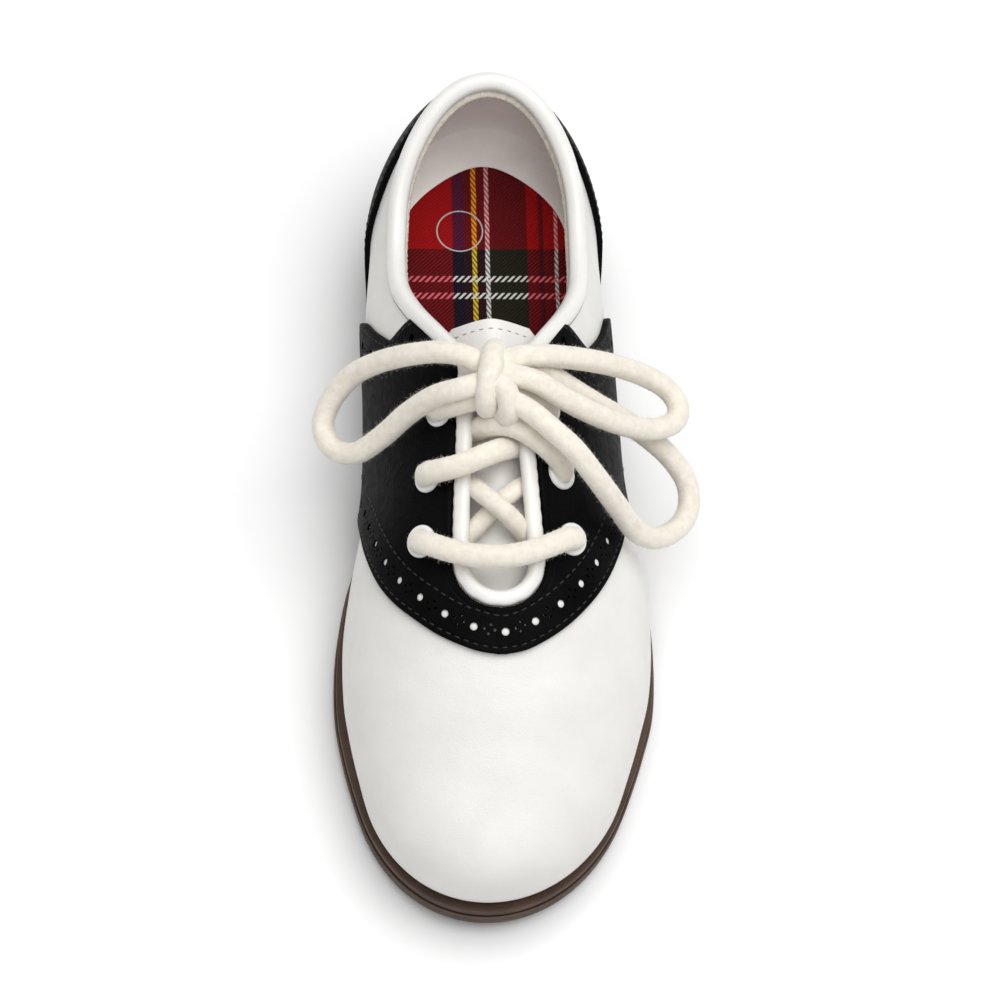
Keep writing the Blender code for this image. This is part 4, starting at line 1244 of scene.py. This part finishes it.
def make_bindings():
    count = len(LOOP)
    far = np.where(LOOP[:, 1] > THROAT_TOP + 3 * MM)[0]
    first, last = far[0], far[-1]
    collar = evenly(LOOP[first - 3 : last + 4], 320)
    throat = evenly(np.roll(LOOP, count - last, axis=0)[2 : first + count - last - 2], 300)
    for name, line in (("collar_binding", collar), ("throat_binding", throat)):
        middles, across, up = binding_frame(line)
        swell = np.ones((len(line), ROLL_SIDES))
        turn = np.linspace(0, 2 * math.pi, ROLL_SIDES, endpoint=False)
        if name == "throat_binding":
            outer = np.clip(np.cos(turn), 0, 1) ** 2
            along = np.linspace(0, ROLL_PUCKERS * 2 * math.pi, len(line))
            swell += 0.10 * np.abs(np.sin(along / 2))[:, None] * outer
        mesh = tube(name + "_roll", middles, across, up, ROLL_SIDES, ROLL_FULLNESS, swell)
        piece(name + "_roll", mesh, (rolled,), (name,))
    middles, across, up = binding_frame(collar)
    across = unit(across)
    inward = -unit(up)
    count, sides = len(middles), 16
    steps = np.arange(count)
    ends = ease(np.minimum(steps, steps[::-1]) / 24)[:, None]
    ragged = ends * (1 + np.random.default_rng(3).uniform(-TAPE_RAGGED, TAPE_RAGGED, (count, sides)))
    centre = middles + across * TAPE_DOWN + inward * TAPE_IN * ends
    mesh = tube("collar_tape", centre, across * TAPE_HALF, inward * TAPE_THICK, sides, 2.2, ragged)
    piece("collar_tape", mesh, (tape,), ())
    facing = (inward - across) * math.sqrt(0.5)
    seam = (centre + (inward * TAPE_THICK - across * TAPE_HALF) * 0.72)[26:-26]
    chosen = np.linspace(0, len(seam) - 1, TAPE_STITCHES).astype(int)
    way = np.gradient(seam, axis=0)[chosen]
    way = unit(way)
    places = list(zip(seam[chosen], facing[26:-26][chosen], way))
    stitches("stitch_collar", places, tan_thread, length=1.5 * MM, thick=0.17 * MM)


def make_eyelets():
    seat = THICK - 0.1 * MM
    hole, barrel, rim = EYELET_HOLE / 2, EYELET_BARREL / 2, EYELET_OUTER / 2
    foot, top = -WALL - 0.4 * MM, seat + EYELET_RIM
    profile = [(hole, foot), (barrel, foot), (barrel, seat), (rim, seat)]
    mid, half, brim = (rim + hole) / 2, (rim - hole) / 2, seat + 0.25 * MM
    for t in np.linspace(0, math.pi, 9):
        profile.append((mid + half * math.cos(t), brim + (top - brim) * math.sin(t)))
    for name, x, y in eyelet_places():
        points, faces = [], []
        rows, segments = len(profile), 40
        for i in range(segments):
            turn = 2 * math.pi * i / segments
            points += [(r * math.cos(turn), r * math.sin(turn), z) for r, z in profile]
            for j in range(rows):
                k, m = (j + 1) % rows, (i + 1) % segments
                faces.append((i * rows + j, m * rows + j, m * rows + k, i * rows + k))
        low, high = Vector(over(x, y, 0)), Vector(over(x, y, 1 * MM))
        place = Matrix.Translation(low) @ (high - low).to_track_quat("Z", "Y").to_matrix().to_4x4()
        mesh = new_mesh(name + "_ring", [place @ Vector(p) for p in points], faces)
        piece(name + "_ring", mesh, (enamel,), (name,))


def round_frame(line):
    """Two directions across a line that turn with it and not about it."""
    along = np.gradient(line, axis=0)
    along = unit(along)
    last = np.cross(along[0], (0.3, 0.2, 1.0))
    across = []
    for way in along:
        last = unit(last - way * (last @ way))
        across.append(last)
    across = np.array(across)
    return across, np.cross(across, along)


STRANDS = []


def lace(name, route, diameter, stands_for, pinched=(False, False)):
    """A braided lace along a route of points, narrower at an end that is pinched in a hole."""
    line = curve_through(np.array(route), LACE_STEP)
    across, up = round_frame(line)
    turn = np.linspace(0, 2 * math.pi, LACE_SIDES, endpoint=False)[None]
    steps = np.arange(len(line))[:, None]
    twist = steps * LACE_STEP / MM * BRAID_TURN
    swell = 1 + BRAID_RELIEF * np.sin(3 * turn + twist) * np.sin(3 * turn - twist)
    for is_pinched, from_end in zip(pinched, (steps, steps[::-1])):
        if is_pinched:
            swell = swell * (1 - PINCH * (1 - ease(from_end * LACE_STEP / PINCH_RUN)))
    mesh = tube(name, line, across * diameter / 2, up * diameter / 2, LACE_SIDES, 2.0, swell)
    thing = piece(name, mesh, (cotton,), stands_for, smooth_angle=60)
    STRANDS.append((line, across, up, diameter / 2))
    return thing


def in_throat(route):
    """A route of THREADING as points."""
    return [over(ridge_line(y * MM) + x * MM, y * MM, h * MM) for x, y, h in route]


def make_laces():
    for name, route in THREADING.items():
        node = STANDS_FOR.get(name)
        thick = LACE_TIGHT if name.startswith("lace_low_") and name != "lace_low_bar" else LACE
        ends = (route[0][2] == IN_HOLE, route[-1][2] == IN_HOLE)
        lace(name, in_throat(route), thick, (node,) if node else (), pinched=ends)
    knot = []
    for name, route in KNOT.items():
        stands_for = ("lace_knot",) if not knot else ()
        knot.append(lace(name, np.array(route) * MM, LACE, stands_for))
    for name, route in BOW.items():
        lace(name + "_braid", np.array(route) * MM, LACE_LOOSE, (name,))
        knot = []


def make_fuzz():
    """Short loose fibres all over the lace: curved spikes with three sides."""
    chance = np.random.default_rng(5)
    points, faces = [], []
    for line, across, up, radius in STRANDS:
        count = int(len(line) * LACE_STEP / MM * FIBRES)
        at = chance.integers(1, len(line) - 1, count)
        turn = chance.uniform(0, 2 * math.pi, count)[:, None]
        out = across[at] * np.cos(turn) + up[at] * np.sin(turn)
        way = line[at + 1] - line[at - 1]
        way = unit(way)
        aside = np.cross(way, out)
        way = way * chance.choice((-1, 1), count)[:, None]
        lean = way * chance.uniform(0.3, 1.0, count)[:, None]
        lean = lean + aside * chance.uniform(-0.7, 0.7, count)[:, None]
        long = chance.uniform(*FIBRE_LONG, count)[:, None]
        foot = line[at] + out * radius * 0.93
        bend = foot + (lean * 0.5 + out * 0.5) * long * 0.55
        tip = foot + (lean * 0.8 + out * chance.uniform(0.35, 0.9, count)[:, None]) * long
        for i in range(count):
            first = len(points)
            for place, thick in ((foot[i], FIBRE), (bend[i], FIBRE * 0.8)):
                for k in range(3):
                    c, d = math.cos(2.1 * k), math.sin(2.1 * k)
                    points.append(tuple(place + (aside[i] * c + way[i] * d) * thick))
            points.append(tuple(tip[i]))
            for k in range(3):
                m = (k + 1) % 3
                faces.append((first + k, first + m, first + 3 + m, first + 3 + k))
                faces.append((first + 3 + k, first + 3 + m, first + 6))
    piece("lace_fuzz", new_mesh("lace_fuzz", points, faces), (cotton,), ())


def flat_piece(name, edges, heights, finish, stands_for, bevel):
    """A layer between two edges, its side made of the given heights and insets."""
    inner, outer = edges
    loop = np.concatenate([inner, outer[::-1][1:-1]])
    step = np.roll(loop, -1, 0) - np.roll(loop, 1, 0)
    step /= np.maximum(np.linalg.norm(step, axis=1, keepdims=True), 1e-9)
    into = np.stack([step[:, 1], -step[:, 0]], -1)
    centre = loop.mean(0)
    if ((centre - loop) * into).sum() < 0:
        into = -into
    share = share_at(loop[:, 1])
    low, high = heights
    z0, z1 = low(share), high(share)
    rings = [np.column_stack([loop + into * inset, z0 + (z1 - z0) * t]) for t, inset in bevel]
    count = len(loop)
    points = np.concatenate(rings)
    faces = stack_faces(0, len(rings), count, capped=False)
    half = len(inner)
    for r in (0, len(rings) - 1):
        for i in range(half - 1):
            a, b = i, i + 1
            c, d = (count - b) % count, (count - a) % count
            faces.append(tuple(r * count + k for k in dict.fromkeys((a, b, c, d))))
    mesh = new_mesh(name, points, faces, turn_out=True)
    piece(name, mesh, (finish,), (stands_for,), smooth_angle=35)


def make_sole():
    side = (
        (0.0, 0.6 * MM), (0.12, 0.1 * MM), (0.3, 0.0), (0.8, 0.0), (0.93, 0.15 * MM), (1.0, 0.5 * MM),
    )
    flat_piece(
        "outsole_layer", outline(*SOLE_PLAN, 200), (underside, lambda s: underside(s) + OUTSOLE),
        sole_dark, "outsole", side,
    )
    flat_piece(
        "welt_layer", outline(*SOLE_PLAN, 200, WELT_INSET),
        (lambda s: underside(s) + OUTSOLE + 0.02 * MM, lambda s: feather(s) - 0.1 * MM),
        sole_top, "welt", side,
    )
    breast = math.acos(1 - 2 * HEEL_END) / math.pi
    flat_piece(
        "heel_block", outline(*SOLE_PLAN, 80, a_range=(0, breast)),
        (np.zeros_like, lambda s: underside(s) - 0.02 * MM), sole_dark, "heel",
        (
            (0.0, 0.5 * MM), (0.04, 0.1 * MM), (0.26, 0.0), (0.28, 0.25 * MM), (0.31, 0.25 * MM),
            (0.33, 0.0), (0.95, 0.0), (1.0, 0.2 * MM),
        ),
    )
    inside = tuck(share_at(run(np.linspace(0, 1, 140), UPPER_HEEL, UPPER_TOE))) + WALL
    flat_piece(
        "insole_sock", outline(*UPPER_PLAN, 140, inside), (feather, lambda s: feather(s) + INSOLE),
        tartan, "insole", ((0.0, 0.0), (0.8, 0.0), (1.0, 0.3 * MM)),
    )


def make_cove():
    """The lining's hollow curve from the wall down to the insole, widest behind the heel."""
    count = 110
    end = float(station(COVE_END))
    a = np.linspace(0, end, count)
    y = run(a, UPPER_HEEL, UPPER_TOE)
    share = share_at(y)
    wide = COVE_SIDE + (COVE_HEEL - COVE_SIDE) * ease((y - COVE_FROM) / COVE_OVER)
    inside = tuck(share) + WALL
    floor = feather(share) + INSOLE
    corner = outline(*UPPER_PLAN, count, inside - 0.4 * MM, (0, end))
    edge = outline(*UPPER_PLAN, count, inside + wide, (0, end))
    t = np.linspace(0, 1, 12)[None, :, None]
    grids = []
    for side, low, foot in zip((-1, 1), corner, edge):
        top = skin(side, a, COVE_TOP) - 1.2 * MM * normal(side, a, COVE_TOP)
        bend = np.column_stack([low, floor + 0.6 * MM])
        foot = np.column_stack([foot, floor + 0.25 * MM])
        line = top[:, None] * (1 - t) ** 2 + bend[:, None] * 2 * t * (1 - t) + foot[:, None] * t**2
        grids.append(line)
    p, n, f = weld(grids)
    if n[:, 2].sum() < 0:
        n = -n
    mesh = wall("lining_cove", (p, n, f), -0.3 * MM, 0)
    piece("lining_cove", mesh, (lining,), ())


def make_ring():
    """The thin printed circle on the insole under the heel."""
    turn = np.linspace(0, 2 * math.pi, 97)
    x, y = RING_PLACE
    top = float(feather(share_at(y)) + INSOLE)
    out = np.stack([np.cos(turn), np.sin(turn), np.zeros_like(turn)], -1)
    up = np.zeros_like(out)
    up[:, 2] = 0.12 * MM
    middles = np.array((x, y, top + 0.02 * MM)) + out * RING_RADIUS
    mesh = tube("insole_ring", middles, out * RING_LINE, up, 8)
    piece("insole_ring", mesh, (grey_thread,), ())


def make_bead():
    """A raised line round the sole where welt and outsole meet, its lighter brown a painted highlight on
    the edge.
    """
    inner, outer = outline(*SOLE_PLAN, 260, 0.1 * MM)
    loop = np.concatenate([inner, outer[::-1]])
    loop = evenly(loop, 620)
    middles = np.column_stack([loop, underside(share_at(loop[:, 1])) + OUTSOLE])
    way = np.gradient(middles, axis=0)
    way = unit(way)
    across = np.cross(way, (0, 0, 1))
    across = unit(across)
    mesh = tube("welt_bead", middles, across * BEAD, np.cross(across, way) * BEAD, 10)
    piece("welt_bead", mesh, (sole_edge_painted_highlight,), ())


def make_stage():
    wide = FLOOR_HALF
    corners = [(-wide, -wide, 0), (wide, -wide, 0), (wide, wide, 0), (-wide, wide, 0)]
    mesh = new_mesh("floor", corners, [(0, 1, 2, 3)])
    mesh.materials.append(look("floor_look", (FLOOR_TONE,), rough=0.9, spec=0.1).material)
    floor = bpy.data.objects.new("floor", mesh)
    scene.collection.objects.link(floor)


def make_lights():
    world = bpy.data.worlds.new("studio")
    world.use_nodes = True
    light = world.node_tree.nodes["Background"].inputs
    light["Color"].default_value = (1, 1, 1, 1)
    light["Strength"].default_value = WORLD_LIGHT
    scene.world = world
    for name, (place, size, power) in LAMPS.items():
        light = bpy.data.lights.new(name, "AREA")
        light.size = size
        light.energy = power
        lamp = bpy.data.objects.new(name, light)
        scene.collection.objects.link(lamp)
        lamp.location = place
        lamp.rotation_euler = (-Vector(place)).to_track_quat("-Z", "Y").to_euler()


def make_camera():
    """A camera with the photo's place and angle, turned without roll to face the shoe."""
    camera = bpy.data.cameras.new("camera")
    camera.sensor_width = 36
    camera.lens = LENS
    thing = bpy.data.objects.new("camera", camera)
    scene.collection.objects.link(thing)
    level = Vector((0, math.cos(CAMERA_UP), -math.sin(CAMERA_UP)))
    eye = Vector((*CAMERA_OVER, 0)) - level * CAMERA_FAR
    turn = level.rotation_difference(Vector(CAMERA_AIM) - eye)
    thing.location = eye
    thing.rotation_euler = (turn @ level.to_track_quat("-Z", "Y")).to_euler()
    scene.camera = thing


scene.view_settings.view_transform = "Standard"
make_camera()
make_laces()
make_upper()
make_saddle()
make_counter()
make_tongue()
make_bindings()
make_eyelets()
make_sole()
make_cove()
make_ring()
make_bead()
make_fuzz()
make_lights()
make_stage()
